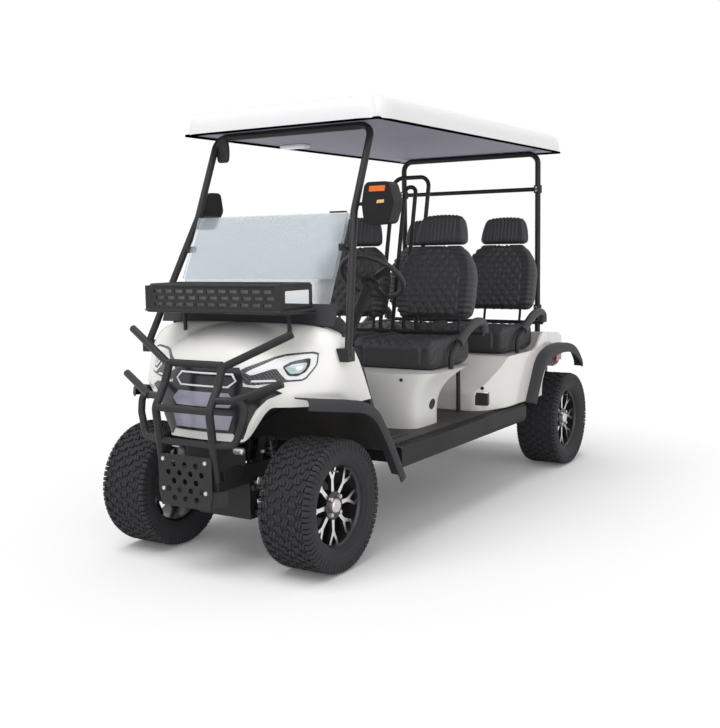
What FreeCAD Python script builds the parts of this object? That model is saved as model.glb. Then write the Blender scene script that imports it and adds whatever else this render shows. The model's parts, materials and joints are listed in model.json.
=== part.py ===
"""Lifted four-seat golf cart: a steel frame on four all-terrain wheels under a moulded body.

Front is -Y, the driver's side is +X and the ground is Z = 0. The origin is the middle of the
cart's footprint. All lengths are in millimetres and all angles in degrees.
"""
import FreeCAD, Part
import math
import os

# Overall layout
wheelbase = 2560.0
front_overhang = 380.0
rear_overhang = 370.0
front_track = 907.0
rear_track = 1035.0

# Wheels
tyre_radius = 292.0
tyre_width = 255.0
bead_radius = 178.0
tread_depth = 11.0
lug_pairs = 20
rim_width = 200.0
rim_flange = 13.0
rim_wall = 7.0
rim_bore = 42.0
hub_radius = 62.0
hub_length = 70.0
spoke_count = 8
spoke_width = 22.0
spoke_depth = 16.0
spoke_inset = 34.0
fit_clearance = 0.3

# Frame
rail_height = 80.0
rail_width = 40.0
rail_top = 460.0
rail_to_tyre = 90.0
nose_spread = 150.0
floor_sheet = 10.0
mat_thickness = 10.0
cabin_half_width = 545.0
sill_width = 62.0
sill_height = 100.0
subframe_sheet = 8.0
subframe_floor = 205.0

# Steering and suspension
kingpin_offset = 318.0
kingpin_radius = 10.0
lower_arm_spread = 68.0
upper_arm_spread = 90.0
lower_arm_height = 232.0
upper_arm_height = 350.0
arm_tube = 26.0
steering_arm = 110.0
tie_rod_height = 262.0
tie_rod_radius = 10.0
pitman_side = 60.0
shock_top = 560.0
shock_top_side = 186.0
shock_eye_radius = 17.0
shock_pin_radius = 8.0
coil_radius = 28.0
coil_wire = 6.0
coil_turns = 6
column_tilt = 40.0
wheel_grip = 26.0
steering_wheel_diameter = 350.0
steering_wheel_side = 278.0
steering_wheel_setback = 750.0
steering_wheel_height = 1250.0
axle_tube_radius = 38.0
leaf_width = 60.0

# Body
body_wall = 6.0
cowl_half_width = 560.0
cowl_crown = 1066.0
cowl_belly = 725.0
nose_bottom = 578.0
seat_rim_height = 770.0
body_half_width = 580.0
rear_deck_height = 868.0
flare_edge = 55.0
flare_wall = 6.0
front_flare_outer = 640.0
rear_flare_outer = 645.0

# Seats
seat_centre = 275.0
cushion_height = 140.0
cushion_depth = 430.0
cushion_half_width = 245.0
bolster_width = 14.0
bolster_rise = 16.0
front_cushion_setback = 930.0
front_back_setback = 1420.0
rear_cushion_lead = 760.0
rear_back_lead = 290.0
seat_bar = 24.0
seat_bar_height = 920.0
back_bar = 16.0
hip_bar = 26.0
hip_bar_side = 551.0
back_width = 470.0
back_thickness = 96.0
back_bottom = 1000.0
back_top = 1402.0
headrest_width = 335.0
headrest_height = 175.0
back_recline = 12.0
armrest_height = 985.0

# Roof and struts
roof_underside = 1967.0
roof_rim = 34.0
roof_crown = 124.0
roof_half_width = 570.0
roof_front_setback = 347.0
roof_rear_setback = 14.0
ceiling_thickness = 8.0
ceiling_lift = 4.0
front_strut_side = 456.0
strut_knee_height = 1560.0
strut_foot_drop = 126.0
strut_foot_side = 580.0
strut_diameter = 34.0
strut_rake = 23.0
rear_strut_side = 474.0
rear_strut_forward = 145.0
pane_thickness = 6.0
pane_half_width = 435.0
pane_top = 1550.0
fold_bottom = 1262.0

# Front guard and basket
guard_tube = 36.0
guard_half_width = 150.0
horn_reach = 450.0
skid_sheet = 5.0
skid_hole = 26.0
basket_half_width = 395.0
basket_lift = 64.0
basket_rail = 112.0
basket_depth = 225.0
basket_tube = 18.0

# Values that follow from the ones above
overall_length = front_overhang + wheelbase + rear_overhang
front_axle = front_overhang - overall_length / 2
rear_axle = front_axle + wheelbase
floor_top = rail_top + floor_sheet + mat_thickness
rail_bottom = rail_top - rail_height
front_wheel_side = front_track / 2
rear_wheel_side = rear_track / 2
rail_spread = rear_wheel_side - tyre_width / 2 - rail_to_tyre
glass_slope = math.tan(math.radians(24.8))
glass_foot = front_axle + 92.0
glass_foot_height = cowl_crown + 2.0
basket_bottom = cowl_crown + basket_lift
toe_board_top = cowl_crown - 198.0
strut_foot_height = cowl_crown - strut_foot_drop
hood_belly, hood_crown = 725.0, 1066.0
tail_foot, tail_deck = 480.0, 868.0
cabin_front = front_axle + 405.0
sill_front = front_axle + 452.0
cabin_rear = rear_axle - 640.0
tub_front = rear_axle - 1060.0
tub_rear = rear_axle + 300.0
strut_top = roof_underside + ceiling_lift - strut_diameter / 2 - fit_clearance
tyre_sides = 2 * lug_pairs
bead_seat = bead_radius * math.cos(math.pi / tyre_sides) - fit_clearance

Vec = FreeCAD.Vector


def box(x_low, x_high, y_low, y_high, z_low, z_high):
    """Box between two corners."""
    return Part.makeBox(x_high - x_low, y_high - y_low, z_high - z_low, Vec(x_low, y_low, z_low))


def rod(start, end, radius):
    """Round bar from one point to another."""
    start, end = Vec(*start), Vec(*end)
    return Part.makeCylinder(radius, (end - start).Length, start, end - start)


def ring(start, end, outer, inner):
    """Sleeve with a round bore."""
    return rod(start, end, outer).cut(rod(start, end, inner))


def fused(*shapes):
    """One solid out of shapes that meet."""
    joined = shapes[0].multiFuse(list(shapes[1:]))
    return joined.removeSplitter()


def mirrored(shape):
    """The same piece on the other side of the cart."""
    return shape.mirror(Vec(0, 0, 0), Vec(1, 0, 0))


def both_sides(shape):
    """A piece and its mirror image as two solids that don't touch."""
    return Part.makeCompound([shape, mirrored(shape)])


def corner_arc(before, here, after, radius):
    """Start, middle and end of the arc that rounds a corner, or None for a sharp one."""
    if radius == 0:
        return None
    back, ahead = before - here, after - here
    shorter = min(back.Length, ahead.Length)
    half = back.getAngle(ahead) / 2
    back.normalize()
    ahead.normalize()
    reach = min(radius / math.tan(half), 0.47 * shorter)
    bend = reach * math.tan(half)
    inward = back + ahead
    inward.normalize()
    centre = here + inward * (bend / math.sin(half))
    return here + back * reach, centre - inward * bend, here + ahead * reach


def outline(plane, corners, level=0.0):
    """Flat face through (u, v, radius) corners on the xy, yz or xz plane."""
    places = {
        "xy": lambda u, v: Vec(u, v, level),
        "yz": lambda u, v: Vec(level, u, v),
        "xz": lambda u, v: Vec(u, level, v),
    }
    points = [places[plane](u, v) for u, v, radius in corners]
    edges = []
    first = last = None
    for index, point in enumerate(points):
        before = points[index - 1]
        after = points[(index + 1) % len(points)]
        arc = corner_arc(before, point, after, corners[index][2])
        start = arc[0] if arc else point
        end = arc[2] if arc else point
        if last is not None:
            edges.append(Part.makeLine(last, start))
        else:
            first = start
        if arc:
            edges.append(Part.Arc(*arc).toShape())
        last = end
    edges.append(Part.makeLine(last, first))
    return Part.Face(Part.Wire(edges))


def slab(plane, corners, low, high):
    """Outline pulled along its normal from one level to another."""
    normal = {"xy": Vec(0, 0, 1), "yz": Vec(1, 0, 0), "xz": Vec(0, 1, 0)}[plane]
    return outline(plane, corners, low).extrude(normal * (high - low))


def symmetric(half):
    """Closed outline from its right half, given bottom to top from the middle."""
    return half + [(-u, v, radius) for u, v, radius in reversed(half) if u != 0]


def tube(points, diameter, bend):
    """Round bar along straight runs joined by tangent arcs."""
    points = [Vec(*point) for point in points]
    edges = []
    last = points[0]
    for index in range(1, len(points) - 1):
        arc = corner_arc(points[index - 1], points[index], points[index + 1], bend)
        edges.append(Part.makeLine(last, arc[0]))
        edges.append(Part.Arc(*arc).toShape())
        last = arc[2]
    edges.append(Part.makeLine(last, points[-1]))
    circle = Part.makeCircle(diameter / 2, points[0], points[1] - points[0])
    return Part.Wire(edges).makePipeShell([Part.Wire(circle)], True, False)


def turned_about_x(profile, x_shift=0.0):
    """Solid of revolution about a line along X, from (x, radius) corners."""
    points = [Vec(x + x_shift, 0, radius) for x, radius in profile]
    face = Part.Face(Part.makePolygon(points + points[:1]))
    return face.revolve(Vec(0, 0, 0), Vec(1, 0, 0), 360)


# Wheels

def tyre():
    """Carcass with one flat for each lug, and two staggered rows of shoulder lugs."""
    sides = tyre_sides
    pitch = 360.0 / sides
    half = tyre_width / 2
    bead = rim_width / 2 - 12
    lug_face = tyre_radius * math.cos(math.radians(pitch / 2))
    crown = tyre_radius - tread_depth
    bulge = (crown + bead_radius) / 2
    profile = [
        (-bead, bead_radius), (-half, bulge), (-half + 16, crown - 8), (-half + 34, crown),
        (half - 34, crown), (half - 16, crown - 8), (half, bulge), (bead, bead_radius),
    ]
    turns = [math.radians(index * pitch) for index in range(sides + 1)]
    faces = []
    for index, (x, radius) in enumerate(profile):
        next_x, next_radius = profile[(index + 1) % len(profile)]
        for low, high in zip(turns, turns[1:]):
            corners = [
                Vec(x, radius * math.sin(low), -radius * math.cos(low)),
                Vec(x, radius * math.sin(high), -radius * math.cos(high)),
                Vec(next_x, next_radius * math.sin(high), -next_radius * math.cos(high)),
                Vec(next_x, next_radius * math.sin(low), -next_radius * math.cos(low)),
            ]
            faces.append(Part.Face(Part.makePolygon(corners + corners[:1])))
    carcass = Part.makeSolid(Part.makeShell(faces))
    lug_width = 2 * tyre_radius * math.sin(math.radians(pitch / 2))
    section = [
        (10, -crown + 5, 0), (10, -lug_face, 0), (half - 22, -lug_face, 0),
        (half, -crown + 24, 0), (half - 9, -crown + 34, 0),
    ]
    lug = slab("xz", section, -lug_width / 2, lug_width / 2)
    lugs = []
    for index in range(sides):
        piece = lug if index % 2 else mirrored(lug)
        piece = piece.copy()
        piece.rotate(Vec(0, 0, 0), Vec(1, 0, 0), (index + 0.5) * pitch)
        lugs.append(piece)
    return carcass.multiFuse(lugs).removeSplitter()


def spoke():
    """Spoke that forks in two before it meets the barrel, seen along the wheel's axis."""
    fork = hub_radius + 0.45 * (bead_radius - hub_radius)
    reach = bead_radius - rim_wall + 2
    half = spoke_width / 2
    spread = 30.0
    corners = [
        (-half, 20, 0), (half, 20, 0), (half * 0.8, fork, 0),
        (spread + half * 0.6, reach, 0), (spread - half * 0.6, reach, 0),
        (0, fork + half * 1.6, 3),
        (-spread + half * 0.6, reach, 0), (-spread - half * 0.6, reach, 0), (-half * 0.8, fork, 0),
    ]
    outer = rim_width / 2 - spoke_inset
    return slab("yz", corners, outer - spoke_depth, outer)


def rim():
    """Deep-dish alloy wheel, its face towards +X."""
    half = rim_width / 2
    lip = bead_radius + rim_flange
    barrel = turned_about_x([
        (-half, lip), (-half + 10, bead_seat), (half - 10, bead_seat), (half, lip),
        (half, lip - rim_wall), (half - 16, bead_seat - rim_wall),
        (-half + 16, bead_seat - rim_wall), (-half, lip - rim_wall),
    ])
    reach = half - spoke_inset + 6
    hub = rod((reach - hub_length, 0, 0), (reach, 0, 0), hub_radius)
    spokes = []
    for index in range(spoke_count):
        piece = spoke()
        piece.rotate(Vec(0, 0, 0), Vec(1, 0, 0), index * 360.0 / spoke_count)
        spokes.append(piece)
    wheel = fused(barrel, hub, *spokes)
    bore = rod((-half, 0, 0), (reach + 1, 0, 0), rim_bore / 2)
    return wheel.cut(bore)


def place_wheel(shape, side, axle_y, left):
    """Wheel piece moved to its corner of the cart, mirrored on the right."""
    moved = shape.copy()
    moved.translate(Vec(side, axle_y, tyre_radius))
    return moved if left else mirrored(moved)


# Frame

def main_frame():
    """Two rails that close up between the front wheels, crossmembers and the front trough."""
    front = front_axle - 300
    rear = tub_rear
    inner, outer = nose_spread - rail_width / 2, nose_spread + rail_width / 2
    wide_in, wide_out = rail_spread - rail_width / 2, rail_spread + rail_width / 2
    neck, waist = front_axle + 275, front_axle + 415
    rail = slab("xy", [
        (inner, front, 0), (outer, front, 0), (outer, neck, 40), (wide_out, waist, 40),
        (wide_out, rear, 0), (wide_in, rear, 0), (wide_in, waist + 12, 40), (inner, neck + 12, 40),
    ], rail_bottom, rail_top)
    pieces = [rail, mirrored(rail)]
    for place in (front, front_axle + 200):
        pieces.append(box(-outer + 5, outer - 5, place, place + 50, rail_bottom + 10, rail_top - 5))
    pieces.append(box(-wide_out + 5, wide_out - 5, rear - 50, rear, rail_bottom + 10, floor_top))
    for place in outrigger_places():
        pieces.append(box(-cabin_half_width, cabin_half_width, place, place + 50,
                          rail_bottom + 20, rail_top))
    trough, tower = front_trough(), shock_tower()
    return fused(*pieces, *trough, tower, mirrored(tower))


def outrigger_places():
    """Where the crossmembers that carry the floor and sills start."""
    first = front_axle + 440
    last = rear_axle - 700
    return [first, (first + last) / 2, last]


def front_trough():
    """Sheets under the rails that hold the arms' pivots and the steering box."""
    half = nose_spread
    front, rear = front_axle - upper_arm_spread - 15, front_axle + lower_arm_spread + 7
    floor = box(-half, half, front, rear, subframe_floor, subframe_floor + subframe_sheet)
    wall = box(-half, half, front, front + subframe_sheet, subframe_floor, rail_bottom)
    sheet = slab("yz", [
        (front, subframe_floor, 0), (rear, subframe_floor, 30), (rear, rail_bottom, 0),
        (front, rail_bottom, 0),
    ], half - subframe_sheet, half)
    window = slab("yz", [
        (front + 50, 262, 16), (rear - 40, 262, 16), (rear - 40, 322, 16), (front + 50, 322, 16),
    ], half - subframe_sheet - 1, half + 1)
    sheet = sheet.cut(window)
    return floor, wall, sheet, mirrored(sheet)


def shock_line():
    """Lower and upper eye of the left coil-over."""
    return (Vec(kingpin_offset - 66, front_axle, lower_arm_height + 34),
            Vec(shock_top_side, front_axle, shock_top))


def shock_tower():
    """Two plates and a pin over the rail that hold the coil-over's upper eye."""
    top = shock_line()[1]
    plates = []
    rail_side = nose_spread + rail_width / 2
    for place in (top.y - 46, top.y + 40):
        plates.append(slab("xz", [
            (rail_side - 34, rail_top - 10, 0), (rail_side, rail_top - 10, 0),
            (top.x + 18, shock_top + 14, 12), (top.x - 20, shock_top + 14, 12),
        ], place, place + 6))
    pin = rod((top.x, top.y - 46, top.z), (top.x, top.y + 46, top.z), shock_pin_radius)
    return fused(*plates, pin)


def arm(height, spread):
    """Wishbone from its pivot tube at the subframe to the eye round the kingpin."""
    inner = nose_spread + arm_tube / 2 + fit_clearance
    radius = arm_tube / 2
    eye = kingpin_radius + 9
    pivot = rod((inner, front_axle - spread - 12, height),
                (inner, front_axle + spread + 12, height), radius)
    legs = [rod((inner, front_axle + side * spread, height),
                (kingpin_offset, front_axle, height), radius * 0.8) for side in (-1, 1)]
    boss = rod((kingpin_offset, front_axle, height - 11),
               (kingpin_offset, front_axle, height + 11), eye)
    bore = rod((kingpin_offset, front_axle, height - 40),
               (kingpin_offset, front_axle, height + 40), kingpin_radius + fit_clearance)
    return fused(pivot, *legs, boss).cut(bore)


def arms():
    """Lower and upper wishbone of one side, the lower one with the shock's ears and pin."""
    low = shock_line()[0]
    ears = []
    for side in (-1, 1):
        ears.append(slab("xz", [
            (low.x - 20, lower_arm_height - 8, 0), (low.x + 20, lower_arm_height - 8, 0),
            (low.x + 14, low.z + 12, 10), (low.x - 14, low.z + 12, 10),
        ], low.y + side * 24 - 3, low.y + side * 24 + 3))
    web = box(low.x - 20, low.x + 20, low.y - 36, low.y + 36,
              lower_arm_height - 8, lower_arm_height + 8)
    pin = rod((low.x, low.y - 27, low.z), (low.x, low.y + 27, low.z), shock_pin_radius)
    lower = fused(arm(lower_arm_height, lower_arm_spread), web, *ears, pin)
    return Part.makeCompound([lower, arm(upper_arm_height, upper_arm_spread)])


def front_shock():
    """Coil-over with an eye at each end, from the lower arm to the tower."""
    low, high = shock_line()
    along = high - low
    along.normalize()
    reach = (high - low).Length
    perch, first, damper, stem = 8.0, 40.0, coil_radius - 2 * coil_wire, 10.0
    last = reach - first
    profile = [(0, 15, 0), (stem, 15, 0), (stem, first, 0), (coil_radius, first, 0),
               (coil_radius, first + perch, 0), (damper, first + perch, 0)]
    step = (last - first - 2 * perch) / coil_turns
    for index in range(coil_turns):
        middle = first + perch + (index + 0.5) * step
        profile += [(damper, middle - coil_wire, 0), (coil_radius, middle - coil_wire, coil_wire),
                    (coil_radius, middle + coil_wire, coil_wire), (damper, middle + coil_wire, 0)]
    profile += [(damper, last - perch, 0), (coil_radius, last - perch, 0), (coil_radius, last, 0),
                (stem, last, 0), (stem, reach - 15, 0), (0, reach - 15, 0)]
    strut = outline("xz", profile).revolve(Vec(0, 0, 0), Vec(0, 0, 1), 360)
    strut.Placement = FreeCAD.Placement(low, FreeCAD.Rotation(Vec(0, 0, 1), along))
    eyes = [rod((place.x, place.y - 18, place.z), (place.x, place.y + 18, place.z),
                shock_eye_radius) for place in (low, high)]
    body = fused(strut, *eyes)
    for place in (low, high):
        body = body.cut(rod((place.x, place.y - 40, place.z), (place.x, place.y + 40, place.z),
                            shock_pin_radius + fit_clearance))
    return body


def knuckle():
    """Upright with kingpin, spindle and the arm that the tie rod pulls."""
    x, y = kingpin_offset, front_axle
    pin = rod((x, y, lower_arm_height - 20), (x, y, upper_arm_height + 20), kingpin_radius)
    upright = slab("yz", [
        (y - 22, lower_arm_height + 16, 6), (y + 22, lower_arm_height + 16, 6),
        (y + 38, tyre_radius, 10), (y + 22, upper_arm_height - 16, 6),
        (y - 22, upper_arm_height - 16, 6), (y - 38, tyre_radius, 10),
    ], x - 16, x + 26)
    spindle = rod((x, y, tyre_radius), (front_wheel_side + spindle_reach(), y, tyre_radius),
                  rim_bore / 2 - fit_clearance)
    drum = rod((x + 20, y, tyre_radius), (front_wheel_side - 6, y, tyre_radius), 100)
    lever = slab("xy", [
        (x - 18, y, 0), (x + 8, y, 0), (x + 12, y + steering_arm, 11),
        (x + 12, y + steering_arm + 14, 11), (x - 12, y + steering_arm + 14, 11),
        (x - 12, y + steering_arm, 11),
    ], tie_rod_height - 6, tie_rod_height + 6)
    eye = rod((x, y + steering_arm, tie_rod_height - 10),
              (x, y + steering_arm, tie_rod_height + 10), 6 + fit_clearance)
    return fused(pin, upright, spindle, drum, lever).cut(eye)


def spindle_reach():
    """How far the spindle reaches past the wheel's middle plane."""
    return rim_width / 2 - spoke_inset


def tie_rod():
    """Bar behind the axle that joins both steering arms and the pitman arm."""
    y = front_axle + steering_arm
    low = tie_rod_height - 6 - tie_rod_radius - 1
    bar = rod((-kingpin_offset, y, low), (kingpin_offset, y, low), tie_rod_radius)
    pins = []
    for x in (-kingpin_offset, pitman_side, kingpin_offset):
        pins.append(rod((x, y, low), (x, y, tie_rod_height + 8), 6))
        pins.append(rod((x, y, low - 13), (x, y, low + 10), 15))
    return fused(bar, *pins)


def pitman_arm():
    """Lever under the steering box, as long as the steering arms."""
    x, y = pitman_side, front_axle
    plate = slab("xy", [
        (x - 17, y - 17, 14), (x + 17, y - 17, 14), (x + 12, y + steering_arm + 12, 11),
        (x - 12, y + steering_arm + 12, 11),
    ], tie_rod_height - 6, tie_rod_height + 6)
    shaft = rod((x, y, tie_rod_height), (x, y, tie_rod_height + 42), 11)
    eye = rod((x, y + steering_arm, tie_rod_height - 10),
              (x, y + steering_arm, tie_rod_height + 10), 6 + fit_clearance)
    return fused(plate, shaft).cut(eye)


def column_line():
    """Unit vector up the steering column."""
    tilt = math.radians(column_tilt)
    return Vec(0, math.sin(tilt), math.cos(tilt))


def wheel_centre():
    """Middle of the steering wheel's rim."""
    return Vec(steering_wheel_side, front_axle + steering_wheel_setback, steering_wheel_height)


def steering_box():
    """Gear housing behind the trough's front wall, bored for the pitman shaft."""
    x, y = pitman_side, front_axle
    low = tie_rod_height + 6 + 5
    wall = y - upper_arm_spread - 15 + subframe_sheet
    case = box(x - 45, x + 45, wall + fit_clearance, y + 40, low, rail_bottom - 4)
    bore = rod((x, y, low - 1), (x, y, tie_rod_height + 46), 11 + fit_clearance)
    return case.cut(bore)


def steering_column():
    """Steering box, the shaft up from it, and the jacket with its bracket on the dashboard."""
    up = column_line()
    top = wheel_centre() - up * 70
    foot = top - up * 420
    jacket = Part.makeCylinder(26, 420, foot, up)
    bore = Part.makeCylinder(11 + fit_clearance, 800, foot - up, up)
    hold = wheel_centre() - up * 392
    bracket = box(hold.x - 22, hold.x + 22, front_axle + 300, hold.y, hold.z - 12, hold.z + 30)
    seat = dashboard_form(0)
    seat.translate(Vec(0, fit_clearance, 0))
    jacket = fused(jacket, bracket.cut(seat)).cut(bore)
    return Part.makeCompound([steering_box(), steering_shaft(), jacket])


def shaft_route():
    """Corners of the shaft's way from the jacket's foot to the steering box."""
    up = column_line()
    start = wheel_centre() - up * (490 + fit_clearance)
    return [start, start - up * 120, Vec(pitman_side, front_axle + 20, rail_top + 120),
            Vec(pitman_side, front_axle, rail_bottom - 4 + fit_clearance)]


def steering_shaft():
    """Shaft from the jacket's foot down to the steering box."""
    shaft = tube(shaft_route(), 20, 60)
    return shaft.cut(box(-100, 200, front_axle - 50, front_axle + 50, rail_bottom - 60,
                         rail_bottom - 4 + fit_clearance))


def steering_wheel():
    """Rim, three spokes, hub and the shaft in the jacket."""
    radius = steering_wheel_diameter / 2 - wheel_grip / 2
    rim_ring = Part.makeTorus(radius, wheel_grip / 2)
    hub = Part.makeCylinder(48, 30, Vec(0, 0, -36))
    boss = Part.makeCylinder(24, 40, Vec(0, 0, -66))
    shaft = Part.makeCylinder(11, 420, Vec(0, 0, -460))
    spokes = []
    for turn in (90, 210, 330):
        spokes.append(slab("xz", [
            (20, -28, 0), (radius, -6, 0), (radius, 3, 0), (20, -12, 0),
        ], -17, 17))
        spokes[-1].rotate(Vec(0, 0, 0), Vec(0, 0, 1), turn)
    wheel = fused(rim_ring, hub, boss, shaft, *spokes)
    wheel.rotate(Vec(0, 0, 0), Vec(1, 0, 0), -column_tilt)
    wheel.translate(wheel_centre())
    return wheel


def rear_axle_housing():
    """Axle tubes, gear case, hubs and brake drums."""
    y, z = rear_axle, tyre_radius
    inside = rear_wheel_side - 6
    tube_piece = rod((-inside, y, z), (inside, y, z), axle_tube_radius)
    case = turned_about_x([(-95, 20), (-95, 80), (-40, 108), (40, 108), (95, 80), (95, 20)], 0)
    case.translate(Vec(0, y, z))
    pieces = [tube_piece, case]
    for side in (-1, 1):
        pieces.append(rod((side * (inside - 90), y, z), (side * inside, y, z), 104))
        pieces.append(rod((side * inside, y, z),
                          (side * (rear_wheel_side + spindle_reach()), y, z),
                          rim_bore / 2 - fit_clearance))
    return fused(*pieces)


def drive_motor():
    """Electric motor in front of the gear case, one plain block."""
    y = rear_axle - 108 - fit_clearance
    return rod((20, y, tyre_radius + 20), (20, y - 260, tyre_radius + 20), 88)


def leaf_springs():
    """Leaf pack, its hangers and the axle's U-bolt plate on each side."""
    seat = tyre_radius + axle_tube_radius
    low, high = rail_spread - leaf_width / 2, rail_spread + leaf_width / 2
    eye_radius = 15.0
    eye = rail_bottom - eye_radius - fit_clearance
    reach = 330.0
    leaves = slab("yz", [
        (rear_axle - reach, eye - 6, 0), (rear_axle - 60, seat, 200), (rear_axle + 60, seat, 200),
        (rear_axle + reach, eye - 6, 0), (rear_axle + reach, eye + 4, 0),
        (rear_axle + 90, seat + 24, 200), (rear_axle - 90, seat + 24, 200),
        (rear_axle - reach, eye + 4, 0),
    ], low, high)
    eyes = []
    for side in (-1, 1):
        place = rear_axle + side * reach
        eyes.append(rod((low, place, eye), (high, place, eye), eye_radius))
    return both_sides(fused(leaves, *eyes))


# Cabin floor

def toe_board_y(height):
    """Y of the toe board's cabin side at a height, steeper above its knee."""
    knee, knee_height = front_axle + 330, 640
    if height < knee_height:
        foot = cabin_front + 12
        return knee + (knee_height - height) * (foot - knee) / (knee_height - floor_top)
    return knee - (height - knee_height) * 115 / 265


def floor_pan():
    """Floor sheet and ribbed mat, with the toe board up to the dashboard."""
    front, rear = cabin_front, cabin_rear
    low, top = rail_top, floor_top
    profile = [
        (rear, low, 0), (rear, top, 0), (front + 12, top, 30), (toe_board_y(640), 640, 60),
        (toe_board_y(toe_board_top), toe_board_top, 0),
        (toe_board_y(toe_board_top) - 16, toe_board_top - 8, 0), (front_axle + 310, 636, 60),
        (front - 6, low, 20),
    ]
    pan = slab("yz", profile, -cabin_half_width, cabin_half_width)
    grooves = []
    pitch = 60.0
    count = int((2 * cabin_half_width - 100) / pitch)
    for index in range(count + 1):
        x = -count * pitch / 2 + index * pitch
        grooves.append(box(x - 8, x + 8, front + 60, front + 330, top - 4, top + 5))
    route = shaft_route()
    hole = rod(tuple(route[1]), tuple(route[2]), 18)
    return pan.cut(Part.makeCompound(grooves)).cut(hole)


def sill():
    """Black step along the cabin's side with a ribbed tread."""
    inner = cabin_half_width + fit_clearance
    outer = inner + sill_width
    bottom = floor_top - 8 - sill_height
    section = [
        (inner, bottom, 0), (outer - 12, bottom, 8), (outer, bottom + 26, 10),
        (outer, floor_top - 8, 14), (inner, floor_top - 8, 0),
    ]
    bar = slab("xz", section, sill_front, cabin_rear)
    ribs = []
    for index in range(3):
        x = inner + 12 + index * 15
        ribs.append(box(x, x + 7, sill_front + 20, cabin_rear - 20, floor_top - 12, floor_top))
    return bar.cut(Part.makeCompound(ribs))


# Front body

def hood_z(height):
    """Height on the hood as it is drawn, stretched with the crown above the belly line."""
    stretch = (cowl_crown - cowl_belly) / (hood_crown - hood_belly)
    return cowl_belly + (height - hood_belly) * stretch


def cowl_form(inset):
    """Hood and front wings, drawn in by an inset on the front, top and outer sides."""
    y = front_axle
    crown = cowl_crown - inset
    width = cowl_half_width - inset
    reach = 40 if inset > 0 else 0
    side = slab("yz", [
        (y - 262 + inset, nose_bottom, 0), (y - 246 + inset, 690, 300),
        (y - 206 + inset, hood_z(850) - inset, 120), (y - 120 + inset, crown - 95, 260),
        (y + 95 + reach, crown, 0), (y + 262 + reach, nose_bottom, 0),
    ], -900, 900)
    plan = slab("xy", symmetric([
        (0, y - 262 + inset, 0), (205, y - 256 + inset, 140), (430, y - 196 + inset, 200),
        (width, y - 96 + inset, 120), (width, y + 340, 0), (0, y + 340, 0),
    ])[::-1], 500, 1200)
    front = slab("xz", symmetric([
        (0, nose_bottom, 0), (248, nose_bottom, 0), (300, 660, 60),
        (410, cowl_belly, 70), (width + 4, cowl_belly, 0),
        (width, hood_z(880) - inset, 200), (width - 46, crown - 44, 60), (250, crown, 400),
        (0, crown + 6, 0),
    ]), y - 400, y + 400)
    return side.common(plan).common(front)


def headlight_prism(gap):
    """Outline of the left headlight pulled through the cowl."""
    return slab("xz", [
        (228 - gap, hood_z(862), 0), (300, hood_z(838) - gap, 30), (470, hood_z(842) - gap, 60),
        (534 + gap, hood_z(880), 25), (548 + gap, hood_z(962) + gap, 8),
        (380, hood_z(932) + gap, 80),
    ], front_axle - 400, front_axle + 20)


def grille_prism(gap):
    """Outline of the grille pulled through the nose."""
    return slab("xz", [
        (-196 - gap, 640 - gap, 20), (196 + gap, 640 - gap, 20), (226 + gap, hood_z(800), 20),
        (205 + gap, hood_z(892) + gap, 16), (-205 - gap, hood_z(892) + gap, 16),
        (-226 - gap, hood_z(800), 20),
    ], front_axle - 400, front_axle - 100)


def front_cowl():
    """White hood and wings as one shell, open below and behind."""
    shell = cowl_form(0).cut(cowl_form(body_wall))
    for light in (headlight_prism(fit_clearance), mirrored(headlight_prism(fit_clearance))):
        shell = shell.cut(light)
    return shell.cut(grille_prism(fit_clearance))


def front_grille():
    """Black grille with a bare name bar and two recessed panels."""
    body = cowl_form(0).common(grille_prism(0)).cut(cowl_form(26))
    top = hood_z(786)
    upper = slab("xz", symmetric([(0, 706, 0), (172, 706, 8), (196, hood_z(748), 8),
                                  (168, top, 8), (0, top, 0)]), front_axle - 400,
                 front_axle - 100)
    lower = slab("xz", symmetric([(0, 656, 0), (150, 656, 8), (172, 690, 8), (0, 690, 0)]),
                 front_axle - 400, front_axle - 100)
    recess = Part.makeCompound([upper, lower]).cut(cowl_form(9))
    return body.cut(recess)


def headlight():
    """Lamp unit, flush with the wing and deep enough to fill its opening."""
    return cowl_form(0).common(headlight_prism(0)).cut(cowl_form(60))


def front_flare():
    """Black wheel-arch flare that runs down into a mud flap, its front end swept back."""
    y = front_axle
    edge = [
        (y - 262, 804, 12), (y + 178, 732, 70), (y + 318, 560, 60), (y + 446, 350, 0),
        (y + 408, 356, 0), (y + 268, 560, 60), (y + 150, 732 - flare_edge, 60),
        (y - 262, 804 - flare_edge, 0),
    ]
    inner, outer = cowl_half_width + fit_clearance, front_flare_outer

    def swept(side, wall):
        return slab("xy", [
            (side, y - 190, 0), (side + 20, y - 188 + wall, 20), (outer - wall, y - 60 + wall, 60),
            (outer - wall, y + 500, 0), (side, y + 500, 0),
        ], 300, 900)

    solid = slab("yz", edge, inner, outer).common(swept(inner, 0))
    hollow = slab("yz", [
        (y - 300, 804 + 2, 0), (y + 178 - 4, 732 - flare_wall, 66),
        (y + 318 - flare_wall, 560, 56), (y + 446, 330, 0), (y + 380, 330, 0),
        (y + 262, 540, 60), (y + 150, 600, 60), (y - 300, 700, 0),
    ], inner - 1, outer - flare_wall)
    return solid.cut(hollow.common(swept(inner - 1, flare_wall)))


def dashboard_form(inset):
    """Cowl top and dashboard, drawn in by an inset on all its walls."""
    y = front_axle
    return slab("yz", [
        (y + 98 + inset, cowl_crown - 30, 0), (y + 98 + inset, cowl_crown + 2 - inset, 8),
        (y + 330 - inset / 2, cowl_crown + 40 - inset, 40),
        (y + 392 - inset, cowl_crown - 30, 40), (y + 350 - inset, toe_board_top + 12, 20),
        (y + 265, toe_board_top + fit_clearance, 0), (y + 240, toe_board_top + fit_clearance, 0),
    ], -520 + inset, 520 - inset)


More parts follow.
